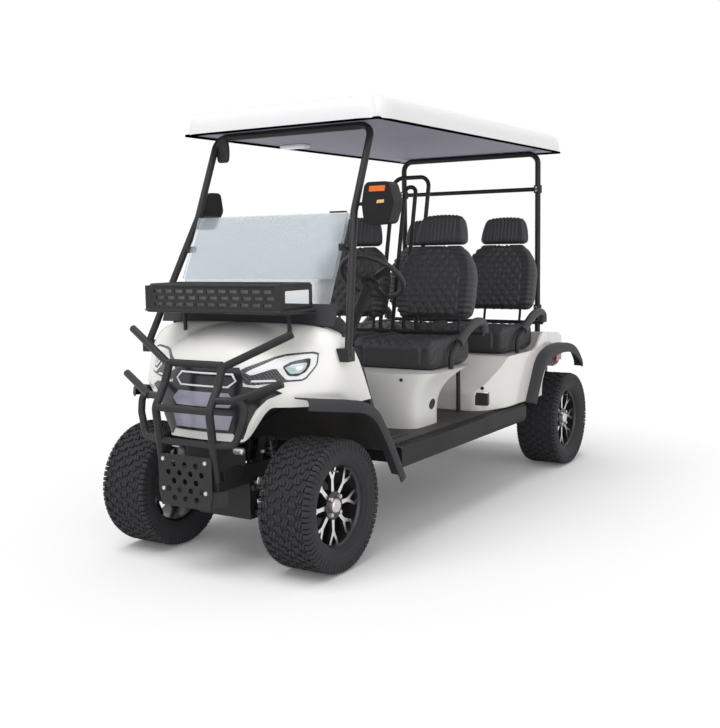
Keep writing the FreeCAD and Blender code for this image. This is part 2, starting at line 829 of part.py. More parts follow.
def dashboard():
    """Black cowl top and dashboard, hollow towards the toe board."""
    y, low = front_axle, toe_board_top
    opening = slab("yz", [
        (y + 200, low, 0), (y + 330, low, 0), (y + 330, low + 8, 0), (y + 200, low + 8, 0),
    ], -500, 500)
    cowl = cowl_form(-fit_clearance)
    cowl.translate(Vec(0, fit_clearance, 0))
    return dashboard_form(0).cut(dashboard_form(8)).cut(opening).cut(cowl)


def pedals():
    """Brake and go pedals on levers from the toe board."""
    shapes = []
    stand_off, thickness = 32.0, 13.0
    low, high, hinge = 560.0, 648.0, 690.0
    pad_low, pad_high = toe_board_y(low) + stand_off, toe_board_y(high) + stand_off
    for side, width in ((330, 100), (215, 60)):
        lever = slab("yz", [
            (toe_board_y(hinge) + fit_clearance, hinge, 0),
            (toe_board_y(hinge + 25) + fit_clearance, hinge + 25, 0),
            (toe_board_y(high - 18) + stand_off + 6, high - 18, 0),
            (toe_board_y(low + 40) + stand_off + 6, low + 40, 0),
        ], side - 9, side + 9)
        pad = slab("yz", [
            (pad_low, low, 3), (pad_low + thickness, low + 5, 3),
            (pad_high + thickness, high + 5, 3), (pad_high, high, 3),
        ], side - width / 2, side + width / 2)
        shapes.append(fused(pad, lever))
    return Part.makeCompound(shapes)


# Seats and rear body

def tail_z(height):
    """Height on the tail as it is drawn, stretched with the deck above the floor."""
    stretch = (rear_deck_height - floor_top) / (tail_deck - tail_foot)
    return floor_top + (height - tail_foot) * stretch


def seat_pod(inset):
    """White pod under the front seats, drawn in by an inset on its sides and top."""
    y = front_axle
    low, top = floor_top + fit_clearance, seat_rim_height - inset
    wide = body_half_width - inset
    plan = slab("xy", symmetric([
        (0, y + 745 + inset, 0), (wide - 60, y + 745 + inset, 70), (wide, y + 840, 90),
        (wide - 66, y + 1350 - inset, 60), (0, y + 1350 - inset, 0),
    ])[::-1], low - 1, top + 1)
    side = slab("yz", [
        (y + 800 + inset, low, 0), (y + 745 + inset, top, 0), (y + 1350 - inset, top, 0),
        (y + 1180 - inset, low, 0),
    ], -900, 900)
    front = slab("xz", symmetric([
        (0, low, 0), (470 - inset, low, 0), (wide, 700, 120), (wide, top, 0), (0, top, 0),
    ]), y + 600, y + 1500)
    return plan.common(side).common(front)


def front_seat_base():
    """Seat pod as a shell, open below, with a round hole at each front corner."""
    shell = seat_pod(0).cut(seat_pod(body_wall))
    hole = rod((body_half_width - 230, front_axle + 640, 612),
               (body_half_width + 120, front_axle + 900, 612), 26)
    return shell.cut(hole).cut(mirrored(hole))


def tub_form(inset):
    """Seat box, side panels, deck and tail, drawn in by an inset on all but the open underside."""
    y = rear_axle
    front, rear = tub_front, tub_rear
    low = floor_top + fit_clearance
    wide = body_half_width - inset
    rim_top = seat_rim_height - inset
    side = slab("yz", [
        (front + inset, low, 0), (front + inset, 600 - inset / 2, 60),
        (front + 230 + inset / 2, rim_top, 60), (y - 430, rim_top, 120),
        (y - 330, rear_deck_height - inset, 90), (y + 60, rear_deck_height - 30 - inset, 160),
        (rear - inset, tail_z(740), 90), (rear - 10 - inset, low, 0),
    ], -900, 900)
    plan = slab("xy", symmetric([
        (0, front + inset, 0), (wide - 70, front + inset, 90), (wide, front + 200, 300),
        (wide, y - 300, 300), (wide - 60, rear - 120, 200), (wide - 150, rear - inset, 120),
        (0, rear - inset, 0),
    ])[::-1], 300, 1000)
    wall = 14.0 - inset
    well = box(-body_half_width + wall, body_half_width - wall, front + 200, y - 190 + inset,
               rim_top, max(seat_rim_height, rear_deck_height) + 50)
    return side.common(plan).cut(well)


def tail_light_prism(gap):
    """Outline of the left tail light pulled through the tail."""
    return slab("xz", [
        (350 - gap, tail_z(640) - gap, 12), (500 + gap, tail_z(640) - gap, 12),
        (500 + gap, tail_z(720) + gap, 12), (350 - gap, tail_z(720) + gap, 12),
    ], rear_axle + 120, rear_axle + 400)


def rear_body():
    """White rear tub as a shell with the wheel arches, ports and lamp openings cut."""
    y = rear_axle
    front = tub_front
    shell = tub_form(0).cut(tub_form(body_wall))
    arch = slab("yz", [
        (y - 330, 300, 0), (y - 330, 560, 120), (y - 200, tail_z(722), 150),
        (y + 160, tail_z(722), 150), (y + 320, 560, 120), (y + 320, 300, 0),
    ], rear_wheel_side - tyre_width / 2 - 20, 900)
    port = box(474, 548, front - 20, front + 70, 512, 584)
    light = tail_light_prism(fit_clearance)
    for opening in (arch, port, light):
        shell = shell.cut(opening).cut(mirrored(opening))
    return shell


def rear_flare():
    """Black flare over the rear wheel, its front leg running down to the sill."""
    y = rear_axle
    wall = flare_wall
    low = floor_top - 8 + fit_clearance
    solid = slab("yz", [
        (y - 640, low, 0), (y - 560, 566, 120), (y - 420, tail_z(752), 120),
        (y - 150, tail_z(790), 160), (y + 90, tail_z(768), 130), (y + 236, tail_z(640), 50),
        (y + 222, tail_z(596), 0), (y + 176, tail_z(628), 60), (y + 60, tail_z(722), 120),
        (y - 180, tail_z(728), 150), (y - 330, tail_z(690), 120), (y - 400, 520, 100),
        (y - 430, low, 0),
    ], body_half_width + fit_clearance, rear_flare_outer)
    hollow = slab("yz", [
        (y - 560, 380, 0), (y - 545, 566, 110), (y - 415, tail_z(752) - wall, 110),
        (y - 150, tail_z(790) - wall, 150), (y + 90 - 4, tail_z(768) - wall, 120),
        (y + 236 - wall, tail_z(640), 40), (y + 222, tail_z(560), 0), (y + 60, tail_z(660), 120),
        (y - 180, tail_z(680), 150), (y - 330, tail_z(600), 120), (y - 400, 380, 0),
    ], body_half_width - 1, rear_flare_outer - wall)
    return solid.cut(hollow)


def battery_pack():
    """Battery under the front seat, one plain block."""
    y = front_axle
    return box(-330, 330, y + 860, y + 1130, floor_top + fit_clearance, floor_top + 230)


def cushion_outline(front, depth, base):
    """Side outline of a seat cushion."""
    return [
        (front, base, 20), (front - 6, base + cushion_height - 40, 30),
        (front + 40, base + cushion_height, 50), (front + depth, base + cushion_height - 22, 30),
        (front + depth, base, 20),
    ]


def seat_pair(front, base):
    """Two cushions side by side with side bolsters."""
    profile = cushion_outline(front, cushion_depth, base)
    edge = seat_centre + cushion_half_width
    piece = slab("yz", profile, seat_centre - cushion_half_width, edge)
    raised = [(u, v + (bolster_rise if v > base + 60 else 0), r) for u, v, r in profile]
    bolster = slab("yz", raised, edge - 30, edge + bolster_width)
    return both_sides(fused(piece, bolster))


def backrest(y, base):
    """Padded back and headrest, leaning back about its lower edge."""
    half = back_width / 2
    tall = back_top - back_bottom
    pad = slab("xz", [
        (-half + 30, 0, 60), (half - 30, 0, 60), (half, 120, 150), (half - 6, tall - 90, 120),
        (half - 80, tall, 90), (-half + 80, tall, 90), (-half + 6, tall - 90, 120),
        (-half, 120, 150),
    ], -back_thickness / 2, back_thickness / 2)
    wide = headrest_width / 2
    head = slab("xz", [
        (-wide, 0, 50), (wide, 0, 50), (wide - 14, headrest_height, 60),
        (-wide + 14, headrest_height, 60),
    ], -back_thickness / 2 + 12, back_thickness / 2 - 6)
    head.translate(Vec(0, 0, tall + fit_clearance))
    shape = Part.makeCompound([pad, head])
    shape.rotate(Vec(0, 0, 0), Vec(1, 0, 0), -back_recline)
    shape.translate(Vec(seat_centre, y, base))
    return both_sides(shape)


def seat_bar_y(y):
    """Y of the cross-bar whose back bars lie along the rear faces of a row of backs."""
    tilt = math.radians(back_recline)
    along = (back_thickness / 2 + back_bar / 2 + fit_clearance) / math.cos(tilt)
    return y + along - (back_bottom - seat_bar_height) * math.tan(tilt)


def seat_frame(y, foot):
    """Bars that carry the backs of one seat row, with a hip bar that rises at each end."""
    behind = seat_bar_y(y)
    lean = math.tan(math.radians(back_recline))
    middle = seat_bar_height
    radius = seat_bar / 2
    pieces = [rod((-hip_bar_side, behind, middle), (hip_bar_side, behind, middle), radius)]
    rise = back_top - 120 - middle
    for x in (-seat_centre - 120, -seat_centre + 120, seat_centre - 120, seat_centre + 120):
        pieces.append(rod((x, behind, foot), (x, behind, middle), radius))
        pieces.append(rod((x, behind, middle), (x, behind + rise * lean, middle + rise),
                          back_bar / 2))
    front = behind - 395
    for side in (-1, 1):
        x = side * hip_bar_side
        pieces.append(tube([
            (x, behind, middle), (x, behind, armrest_height), (x, behind - 130, armrest_height + 8),
            (x, front, seat_rim_height + 75), (x, front, seat_rim_height + fit_clearance),
        ], hip_bar, 60))
    return fused(*pieces)


# Roof

def roof_form(inset):
    """Domed roof with a turned-down rim, drawn in by an inset on its top and sides."""
    front = front_axle + roof_front_setback
    rear = rear_axle + roof_rear_setback
    middle = (front + rear) / 2
    rim = roof_underside + roof_rim - inset
    top = roof_underside + roof_rim + roof_crown - inset
    wide = roof_half_width - inset
    side = slab("yz", [
        (front + inset, roof_underside, 0), (front + inset, rim, 14),
        (front + 150, rim + 52, 300), (middle, top - 26, 3000), (rear - 170, rim + 42, 300),
        (rear - inset, rim - 4, 14), (rear - inset, roof_underside, 0),
    ], -900, 900)
    across = slab("xz", symmetric([
        (0, roof_underside, 0), (wide, roof_underside, 0), (wide, rim, 14),
        (roof_half_width - 110, rim + 50, 220), (0, top, 0),
    ]), front - 10, rear + 10)
    plan = slab("xy", [
        (-wide, front + inset, 90), (wide, front + inset, 90), (wide, rear - inset, 90),
        (-wide, rear - inset, 90),
    ], roof_underside - 1, roof_underside + 300)
    return side.common(across).common(plan)


def roof():
    """Moulded roof as a shell over the ceiling liner."""
    return roof_form(0).cut(roof_form(body_wall))


def ceiling():
    """Dark liner inside the roof's rim."""
    front = front_axle + roof_front_setback + body_wall + fit_clearance
    rear = rear_axle + roof_rear_setback - body_wall - fit_clearance
    half = roof_half_width - body_wall - fit_clearance
    low = roof_underside + ceiling_lift
    return slab("xy", [(-half, front, 92), (half, front, 92), (half, rear, 92), (-half, rear, 92)],
                low, low + ceiling_thickness)


def strut_point(height):
    """Y of the front struts' line at a height."""
    return front_axle + 470 - (1930 - height) * math.tan(math.radians(strut_rake))


def front_struts():
    """Raked front struts joined under the roof, and the windshield's fittings on them."""
    left = [
        (strut_foot_side, strut_point(strut_foot_height), strut_foot_height),
        (front_strut_side, strut_point(strut_knee_height), strut_knee_height),
        (front_strut_side, strut_point(strut_top), strut_top),
    ]
    right = [(-x, y, z) for x, y, z in reversed(left)]
    pieces = [tube(left + right, strut_diameter, 60)]
    knob = 1400.0
    knob_y = glass_y(knob)
    share = (knob - strut_foot_height) / (strut_knee_height - strut_foot_height)
    knob_end = strut_foot_side + share * (front_strut_side - strut_foot_side)
    foot_y = strut_point(strut_foot_height)
    for side in (-1, 1):
        start = side * (pane_half_width + 4)
        pieces.append(rod((start, knob_y - 34, knob), (start, knob_y + 26, knob), 16))
        pieces.append(rod((start, knob_y, knob), (side * knob_end, strut_point(knob), knob), 9))
        near, far = sorted((side * (strut_foot_side - 60), side * (strut_foot_side + 12)))
        pieces.append(box(near, far, foot_y - 20, foot_y + 34, strut_foot_height - 26,
                          strut_foot_height + 30))
    body = fused(*pieces)
    body = body.cut(cowl_form(-fit_clearance))
    grown = box(-pane_half_width - fit_clearance, pane_half_width + fit_clearance,
                knob_y - 60, knob_y + 60, knob - 40, knob + 40)
    return Part.makeCompound([body.cut(grown)] + windshield_fittings())


def rear_frame():
    """Rear struts with their cross-bar and clamps, standing on the deck."""
    y = rear_axle - rear_strut_forward
    foot = tail_z(770)
    side = rear_strut_side
    bow = tube([(-side, y, foot), (-side, y, strut_top), (side, y, strut_top), (side, y, foot)],
               strut_diameter, 60)
    bar = rod((-side, y, 1738), (side, y, 1738), 13)
    clamps = []
    for x in (-side, side):
        for z in (1738, 1000):
            clamps.append(rod((x, y, z - 24), (x, y, z + 24), strut_diameter / 2 + 8))
    seat = tub_form(0)
    seat.translate(Vec(0, 0, fit_clearance))
    return fused(bow, bar, *clamps).cut(seat)


def grab_hoop():
    """Nested hoop between the front backs that leans with them, for the rear riders."""
    lean = math.tan(math.radians(back_recline))
    foot = seat_bar_y(front_axle + front_back_setback) + seat_bar + fit_clearance
    low, bend_height = 880.0, 960.0
    outer_half, outer_top = 118.0, 1795.0
    shapes = []
    for half, top in ((outer_half, outer_top), (36.0, outer_top - 55)):
        high_y = foot + (top - bend_height) * lean
        shapes.append(tube([
            (-half, foot, low), (-half, foot, bend_height), (-half, high_y, top),
            (half, high_y, top), (half, foot, bend_height), (half, foot, low),
        ], seat_bar, 60))
    bridge = rod((-outer_half, foot, low + 30), (outer_half, foot, low + 30), 8)
    return fused(*shapes, bridge)


def glass_y(height):
    """Y of the windshield's middle plane at a height."""
    return glass_foot + (height - glass_foot_height) * glass_slope


def pane(low, high, offset):
    """One windshield pane between two heights."""
    half = pane_thickness / 2
    profile = [
        (glass_y(low) - half + offset, low, 0), (glass_y(low) + half + offset, low, 0),
        (glass_y(high) + half + offset, high, 0), (glass_y(high) - half + offset, high, 0),
    ]
    return slab("yz", profile, -pane_half_width, pane_half_width)


def windshield():
    """Lower pane, and the upper pane folded down in front of it."""
    lower = pane(cowl_crown + 30, pane_top, 0)
    upper = pane(fold_bottom, pane_top + 4, -22)
    return Part.makeCompound([lower, upper])


def windshield_fittings():
    """Sill strip under the lower pane and the clips over the fold."""
    low = cowl_crown + 8
    sill_bar = slab("yz", [
        (glass_y(low) - 16, low - 20, 0), (glass_y(low) + 16, low - 20, 0),
        (glass_y(low + 21.7) + 12, low + 21.7, 0), (glass_y(low + 21.7) - 12, low + 21.7, 0),
    ], -pane_half_width, pane_half_width)
    for seat in (dashboard_form(0), cowl_form(0)):
        seat.translate(Vec(0, 0, fit_clearance))
        sill_bar = sill_bar.cut(seat)
    shapes = [sill_bar]
    for side in (-1, 1):
        x = side * (pane_half_width - 60)
        y = glass_y(pane_top)
        shapes.append(box(x - 40, x + 40, y - 18.5, y + 3, pane_top + fit_clearance + 4,
                          pane_top + 12))
    return shapes


def mirror_unit():
    """Driver's mirror housing on an arm from the strut, swung out."""
    y = strut_point(1590)
    case = slab("xz", [
        (524, 1493, 26), (650, 1500, 26), (678, 1590, 30), (652, 1682, 30), (530, 1682, 30),
        (512, 1590, 30),
    ], y - 40, y + 40)
    start = front_strut_side + strut_diameter / 2 + fit_clearance
    arm_bar = rod((start, y, 1590), (520, y, 1590), 8)
    return fused(case, arm_bar)


def folded_mirror():
    """Passenger's mirror, swung in behind its strut."""
    behind = strut_diameter / 2 / math.cos(math.radians(strut_rake)) + 2 * fit_clearance
    low, middle, high = strut_point(1493), strut_point(1590), strut_point(1682)
    case = slab("yz", [
        (low + behind + 14, 1493, 26), (low + 150, 1500, 26), (middle + 176, 1590, 30),
        (high + 120, 1682, 30), (high + behind + 14, 1682, 30),
    ], -front_strut_side - 34, -front_strut_side + 4)
    arm_bar = rod((-front_strut_side, middle + behind + 3.5, 1590),
                  (-front_strut_side, middle + 60, 1590), 8)
    return fused(case, arm_bar)


# Front guard, skid plate and basket

def brush_guard():
    """Bent tube guard with two posts, three cross-bars, side loops and four horns."""
    y = front_axle
    half = guard_half_width
    top, middle, bottom = 912, 727, 578
    front = y - front_overhang + guard_tube / 2

    def post(x):
        return tube([(x, y - 262, top + 4), (x, y - 300, top - 90), (x, front, middle),
                     (x, y - 335, bottom - 60), (x, y - 320, rail_bottom + 20)], guard_tube, 60)

    pieces = [post(-half), post(half)]
    pieces.append(rod((-half, y - 268, top), (half, y - 268, top), guard_tube / 2 - 2))
    pieces.append(rod((-half, front, middle), (half, front, middle), guard_tube / 2 - 2))
    pieces.append(rod((-half, y - 338, bottom), (half, y - 338, bottom), guard_tube / 2 - 2))
    for side in (-1, 1):
        pieces.append(tube([
            (side * half, y - 338, bottom), (side * 250, y - 322, bottom + 8),
            (side * 288, y - 306, 690), (side * 292, y - 292, 770), (side * half, y - 330, 770),
        ], guard_tube - 4, 40))
        pieces.append(rod((side * half, y - 266, top - 10), (side * horn_reach, y - 174, 1045),
                          guard_tube / 2 - 1))
        pieces.append(rod((side * 230, y - 314, 768), (side * 440, y - 233, 846),
                          guard_tube / 2 - 1))
    mount = box(-half - 18, half + 18, y - 338, y - 300 - fit_clearance, rail_bottom, rail_bottom + 40)
    return fused(*pieces, mount)


def skid_plate():
    """Bent plate ahead of the guard's posts, its wings swept back under the rails."""
    half = guard_half_width
    face = front_axle - 335 - guard_tube / 2 - fit_clearance - skid_sheet
    low, high = 300.0, 527.0
    plate = slab("xz", [
        (-half + 14, low, 0), (half - 14, low, 0), (half, low + 60, 20), (half, high, 14),
        (-half, high, 14), (-half, low + 60, 20),
    ], face, face + skid_sheet)
    wing = slab("xy", [
        (half - 16, face, 0), (half + 38, face + 60, 0), (half + 38 - skid_sheet, face + 63, 0),
        (half - 16, face + skid_sheet, 0),
    ], low + 10, rail_bottom - fit_clearance)
    outer = fused(plate, wing, mirrored(wing))
    holes = []
    for row in range(5):
        count = 4 if row % 2 else 3
        for index in range(count):
            x = (index - (count - 1) / 2) * 62
            z = 338 + row * 37
            holes.append(rod((x, face - 5, z), (x, face + 20, z), skid_hole / 2))
    return outer.cut(Part.makeCompound(holes))


def basket():
    """Bag basket ahead of the windshield: rails, slotted walls and a floor."""
    y = front_axle
    front = y - 150
    rear = front + basket_depth
    half = basket_half_width
    low = basket_bottom
    high = basket_bottom + basket_rail
    radius = basket_tube / 2
    pieces = []
    for z, wide in ((low, half), (high, half - 26)):
        pieces.append(tube([(-wide, rear, z), (-wide, front, z), (wide, front, z),
                            (wide, rear, z)], basket_tube, 40))
        pieces.append(rod((-wide, rear, z), (wide, rear, z), radius))
    floor = box(-half, half, front, rear, low - 3, low + 3)
    wall = box(-half + 10, half - 10, front - 3, front + 3, low, high)
    slots = []
    pitch = 62.0
    count = int((2 * half - 80) / pitch)
    for row in range(3):
        z = low + 22 + row * 29
        for index in range(count):
            x = (index - (count - 1) / 2) * pitch + (row % 2) * 14
            slots.append(box(x - 22, x + 22, front - 10, front + 10, z, z + 14))
    wall = wall.cut(Part.makeCompound(slots))
    sides = []
    for side in (-1, 1):
        sides.append(slab("yz", [
            (front, low, 0), (rear, low, 0), (rear, high, 0), (front, high, 0),
        ], side * (half - 14) - 2, side * (half - 14) + 2).cut(slab("yz", [
            (front + 26, low + 22, 6), (rear - 20, low + 22, 6), (rear - 20, high - 22, 6),
            (front + 26, high - 22, 6),
        ], side * (half - 14) - 5, side * (half - 14) + 5)))
    seat = cowl_form(0)
    seat.translate(Vec(0, 0, fit_clearance))
    feet = []
    for x in (-300, 300):
        feet.append(rod((x, y + 15, cowl_crown - 60), (x, y + 15, low), radius).cut(seat))
    return fused(*pieces, floor, wall, *sides, *feet)


# Tail

def tail_light():
    """Red lamp, flush with the tail and deep enough to fill its opening."""
    return tub_form(0).common(tail_light_prism(0)).cut(tub_form(40))


def rear_bumper():
    """Bent tube bumper behind the tail, on two brackets from the rails."""
    y = rear_axle
    back = y + rear_overhang - 17
    side, height = 355.0, 420.0
    bar = tube([(-side, y + 250, height), (-side, back, height), (side, back, height),
                (side, y + 250, height)], 34, 50)
    stays = []
    for x in (-rail_spread, rail_spread):
        stays.append(box(x - 20, x + 20, tub_rear + fit_clearance, back, height - 20, height + 20))
    return fused(bar, *stays)


def build():
    """Every sub-part under its node name."""
    front_row = front_axle + front_cushion_setback
    rear_row = rear_axle - rear_cushion_lead
    base = seat_rim_height + fit_clearance
    front_back = front_axle + front_back_setback
    rear_back = rear_axle - rear_back_lead
    nodes = {
        "main_frame": main_frame(),
        "wishbones": both_sides(arms()),
        "front_shocks": both_sides(front_shock()),
        "knuckle_left": knuckle(),
        "knuckle_right": mirrored(knuckle()),
        "tie_rod": tie_rod(),
        "pitman_arm": pitman_arm(),
        "steering_column": steering_column(),
        "steering_wheel": steering_wheel(),
        "rear_axle": rear_axle_housing(),
        "drive_motor": drive_motor(),
        "leaf_springs": leaf_springs(),
        "battery_pack": battery_pack(),
        "floor_pan": floor_pan(),
        "sills": both_sides(sill()),
        "front_cowl": front_cowl(),
        "front_grille": front_grille(),
        "headlights": both_sides(headlight()),
        "flares": Part.makeCompound([both_sides(front_flare()), both_sides(rear_flare())]),
        "dashboard": dashboard(),
        "pedals": pedals(),
        "front_seat_base": front_seat_base(),
        "rear_body": rear_body(),
        "cushions": Part.makeCompound([seat_pair(front_row, base), seat_pair(rear_row, base)]),
        "backrests": Part.makeCompound([backrest(front_back, back_bottom),
                                        backrest(rear_back, back_bottom)]),
        "seat_frames": Part.makeCompound([seat_frame(front_back, floor_top + fit_clearance),
                                          seat_frame(rear_back, base), grab_hoop()]),
        "roof": roof(),
        "ceiling": ceiling(),
        "front_struts": front_struts(),
        "rear_frame": rear_frame(),
        "windshield": windshield(),
        "mirrors": Part.makeCompound([mirror_unit(), folded_mirror()]),
        "brush_guard": brush_guard(),
        "skid_plate": skid_plate(),
        "basket": basket(),
        "tail_lights": both_sides(tail_light()),
        "rear_bumper": rear_bumper(),
    }
    wheel_tyre, wheel_rim = tyre(), rim()
    for name, side, axle_y in (("front", front_wheel_side, front_axle),
                               ("rear", rear_wheel_side, rear_axle)):
        for hand in ("left", "right"):
            left = hand == "left"
            nodes[f"tyre_{name}_{hand}"] = place_wheel(wheel_tyre, side, axle_y, left)
            nodes[f"rim_{name}_{hand}"] = place_wheel(wheel_rim, side, axle_y, left)
    return nodes


def main():
    """Write one STEP file for each sub-part."""
    os.makedirs("parts", exist_ok=True)
    for name, shape in build().items():
        shape.exportStep(f"parts/{name}.step")


main()
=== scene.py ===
"""Looks of a lifted four-seat golf cart: finishes, seats, tyres, roof, lamps and trim.

Front is -Y, the driver's side is +X and up is +Z. All lengths are in metres.
"""

import json
import math

import bmesh
import bpy
from mathutils import Matrix, Vector
from mathutils.bvhtree import BVHTree


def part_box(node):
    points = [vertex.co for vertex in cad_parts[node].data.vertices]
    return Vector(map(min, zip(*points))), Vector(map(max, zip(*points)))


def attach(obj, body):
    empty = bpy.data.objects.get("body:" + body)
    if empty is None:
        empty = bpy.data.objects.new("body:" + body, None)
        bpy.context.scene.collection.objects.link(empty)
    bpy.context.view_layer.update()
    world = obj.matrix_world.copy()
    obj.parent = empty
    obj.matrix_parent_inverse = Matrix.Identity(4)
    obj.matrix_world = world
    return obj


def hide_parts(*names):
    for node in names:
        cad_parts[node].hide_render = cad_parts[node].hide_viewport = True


bl_info = {
    "name": "Golf cart looks",
    "version": (1, 0, 0),
    "blender": (4, 5, 0),
    "location": "3D View > Sidebar > Golf cart",
    "description": "Finishes, padded seats, tread, roof, lamps and trim for a packed golf cart",
    "category": "Object",
}

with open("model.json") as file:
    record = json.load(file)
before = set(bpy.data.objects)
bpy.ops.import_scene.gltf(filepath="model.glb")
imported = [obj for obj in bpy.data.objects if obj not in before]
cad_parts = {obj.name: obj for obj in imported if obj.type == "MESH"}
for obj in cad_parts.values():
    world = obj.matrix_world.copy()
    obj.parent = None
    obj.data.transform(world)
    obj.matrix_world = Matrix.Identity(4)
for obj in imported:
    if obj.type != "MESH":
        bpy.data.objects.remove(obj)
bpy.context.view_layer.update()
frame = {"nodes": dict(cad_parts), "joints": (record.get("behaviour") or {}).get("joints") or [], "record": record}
joints = {joint["name"]: joint for joint in frame["joints"]}
corners = [f"{row}_{hand}" for row in ("front", "rear") for hand in ("left", "right")]
hands = (("left", 1), ("right", -1))
axle = joints["spin_front_left"]["pos_m"][1]
rear_axle = joints["spin_rear_left"]["pos_m"][1]


class CartSizes(bpy.types.PropertyGroup):
    """Sizes of the pieces that dress the cart."""

    quilt_pitch: bpy.props.FloatProperty(
        name="Quilt pitch", description="Width of one sewn diamond", default=0.056, unit="LENGTH")
    quilt_height: bpy.props.FloatProperty(
        name="Quilt height", description="How far a diamond stands out of its seams",
        default=0.009, unit="LENGTH")
    rib_pitch: bpy.props.FloatProperty(
        name="Rib pitch", description="Width of one sewn rib on the bolsters", default=0.03,
        unit="LENGTH")
    tread_pitches: bpy.props.IntProperty(
        name="Tread pitches", description="Blocks of one tread row round a tyre", default=36)
    wall: bpy.props.FloatProperty(
        name="Roof wall", description="Thickness of the roof shell", default=0.005, unit="LENGTH")


class CartColours(bpy.types.PropertyGroup):
    """Colours that a user would change."""

    body: bpy.props.FloatVectorProperty(
        name="Body", description="Gloss paint of hood and body", subtype="COLOR", size=3,
        default=(0.80, 0.775, 0.74))
    roof: bpy.props.FloatVectorProperty(
        name="Roof", description="Moulded roof", subtype="COLOR", size=3,
        default=(0.72, 0.72, 0.74))
    seat: bpy.props.FloatVectorProperty(
        name="Seats", description="Vinyl of the seats", subtype="COLOR", size=3,
        default=(0.020, 0.022, 0.029))
    panel: bpy.props.FloatVectorProperty(
        name="Grille panels", description="Inset panels of the grille", subtype="COLOR", size=3,
        default=(0.31, 0.31, 0.40))


def sizes():
    """The sizes kept on the scene."""
    return bpy.context.scene.cart_sizes


def colours():
    """The colours kept on the scene."""
    return bpy.context.scene.cart_colours


# Shared node groups

def group_socket(group, name, kind, default=None, output=False):
    """One named input or output of a node group."""
    direction = "OUTPUT" if output else "INPUT"
    made = group.interface.new_socket(name=name, in_out=direction, socket_type=kind)
    if default is not None:
        made.default_value = default


def new_group(name):
    """Empty shader node group with its two ends."""
    group = bpy.data.node_groups.new(name, "ShaderNodeTree")
    return group, group.nodes.new("NodeGroupInput"), group.nodes.new("NodeGroupOutput")


def feed(tree, socket, value):
    """Links a socket to another one, or gives it a plain value."""
    if isinstance(value, bpy.types.NodeSocket):
        tree.links.new(value, socket)
    else:
        socket.default_value = value


def object_noise(tree, scale, detail):
    """Noise on object coordinates, its scale taken from a socket or a number."""
    place = tree.nodes.new("ShaderNodeTexCoord")
    noise = tree.nodes.new("ShaderNodeTexNoise")
    noise.inputs["Detail"].default_value = detail
    tree.links.new(place.outputs["Object"], noise.inputs["Vector"])
    feed(tree, noise.inputs["Scale"], scale)
    return noise.outputs["Fac"]


def math_node(tree, operation, first, second=0.0):
    """One math node on sockets or numbers."""
    node = tree.nodes.new("ShaderNodeMath")
    node.operation = operation
    feed(tree, node.inputs[0], first)
    feed(tree, node.inputs[1], second)
    return node.outputs["Value"]


def colour_mix(tree, mask, first, second):
    """Blend of two colours by a mask, each one a socket or a plain colour."""
    node = tree.nodes.new("ShaderNodeMix")
    node.data_type = "RGBA"
    tree.links.new(mask, node.inputs["Factor"])
    feed(tree, node.inputs["A"], first)
    feed(tree, node.inputs["B"], second)
    return node.outputs["Result"]


def surface_group():
    """Cloudy tone, fine grain and softened edges, shared by the moulded and painted parts."""
    group, start, end = new_group("Moulded surface")
    group_socket(group, "Colour", "NodeSocketColor", (0.5, 0.5, 0.5, 1))
    group_socket(group, "Tone amount", "NodeSocketFloat", 0.05)
    group_socket(group, "Tone scale", "NodeSocketFloat", 6.0)
    group_socket(group, "Grain scale", "NodeSocketFloat", 400.0)
    group_socket(group, "Grain depth", "NodeSocketFloat", 0.0002)
    group_socket(group, "Edge radius", "NodeSocketFloat", 0.003)
    group_socket(group, "Colour", "NodeSocketColor", output=True)
    group_socket(group, "Mask", "NodeSocketFloat", output=True)
    group_socket(group, "Normal", "NodeSocketVector", output=True)
    tone = object_noise(group, start.outputs["Tone scale"], 4)
    swing = math_node(group, "SUBTRACT", tone, 0.5)
    swing = math_node(group, "MULTIPLY", swing, start.outputs["Tone amount"])
    swing = math_node(group, "MULTIPLY", swing, 4.0)
    swing = math_node(group, "ADD", swing, 1.0)
    tint = group.nodes.new("ShaderNodeVectorMath")
    tint.operation = "SCALE"
    group.links.new(start.outputs["Colour"], tint.inputs[0])
    group.links.new(swing, tint.inputs["Scale"])
    grain = object_noise(group, start.outputs["Grain scale"], 2)
    soft = group.nodes.new("ShaderNodeBevel")
    soft.samples = 6
    group.links.new(start.outputs["Edge radius"], soft.inputs["Radius"])
    bump = group.nodes.new("ShaderNodeBump")
    bump.inputs["Strength"].default_value = 0.6
    group.links.new(start.outputs["Grain depth"], bump.inputs["Distance"])
    group.links.new(grain, bump.inputs["Height"])
    group.links.new(soft.outputs["Normal"], bump.inputs["Normal"])
    group.links.new(tint.outputs["Vector"], end.inputs["Colour"])
    group.links.new(tone, end.inputs["Mask"])
    group.links.new(bump.outputs["Normal"], end.inputs["Normal"])
    return group


def dust_group():
    """Pale road dust in patches."""
    group, start, end = new_group("Road dust")
    group_socket(group, "Colour", "NodeSocketColor", (0.5, 0.5, 0.5, 1))
    group_socket(group, "Dust", "NodeSocketColor", (0.25, 0.23, 0.2, 1))
    group_socket(group, "Amount", "NodeSocketFloat", 0.3)
    group_socket(group, "Colour", "NodeSocketColor", output=True)
    group_socket(group, "Mask", "NodeSocketFloat", output=True)
    patches = object_noise(group, 9.0, 6)
    fine = object_noise(group, 160.0, 3)
    cover = math_node(group, "MULTIPLY", patches, fine)
    cover = math_node(group, "MULTIPLY", cover, 2.5)
    cover = math_node(group, "MULTIPLY", cover, start.outputs["Amount"])
    dusty = colour_mix(group, cover, start.outputs["Colour"], start.outputs["Dust"])
    group.links.new(dusty, end.inputs["Colour"])
    group.links.new(cover, end.inputs["Mask"])
    return group


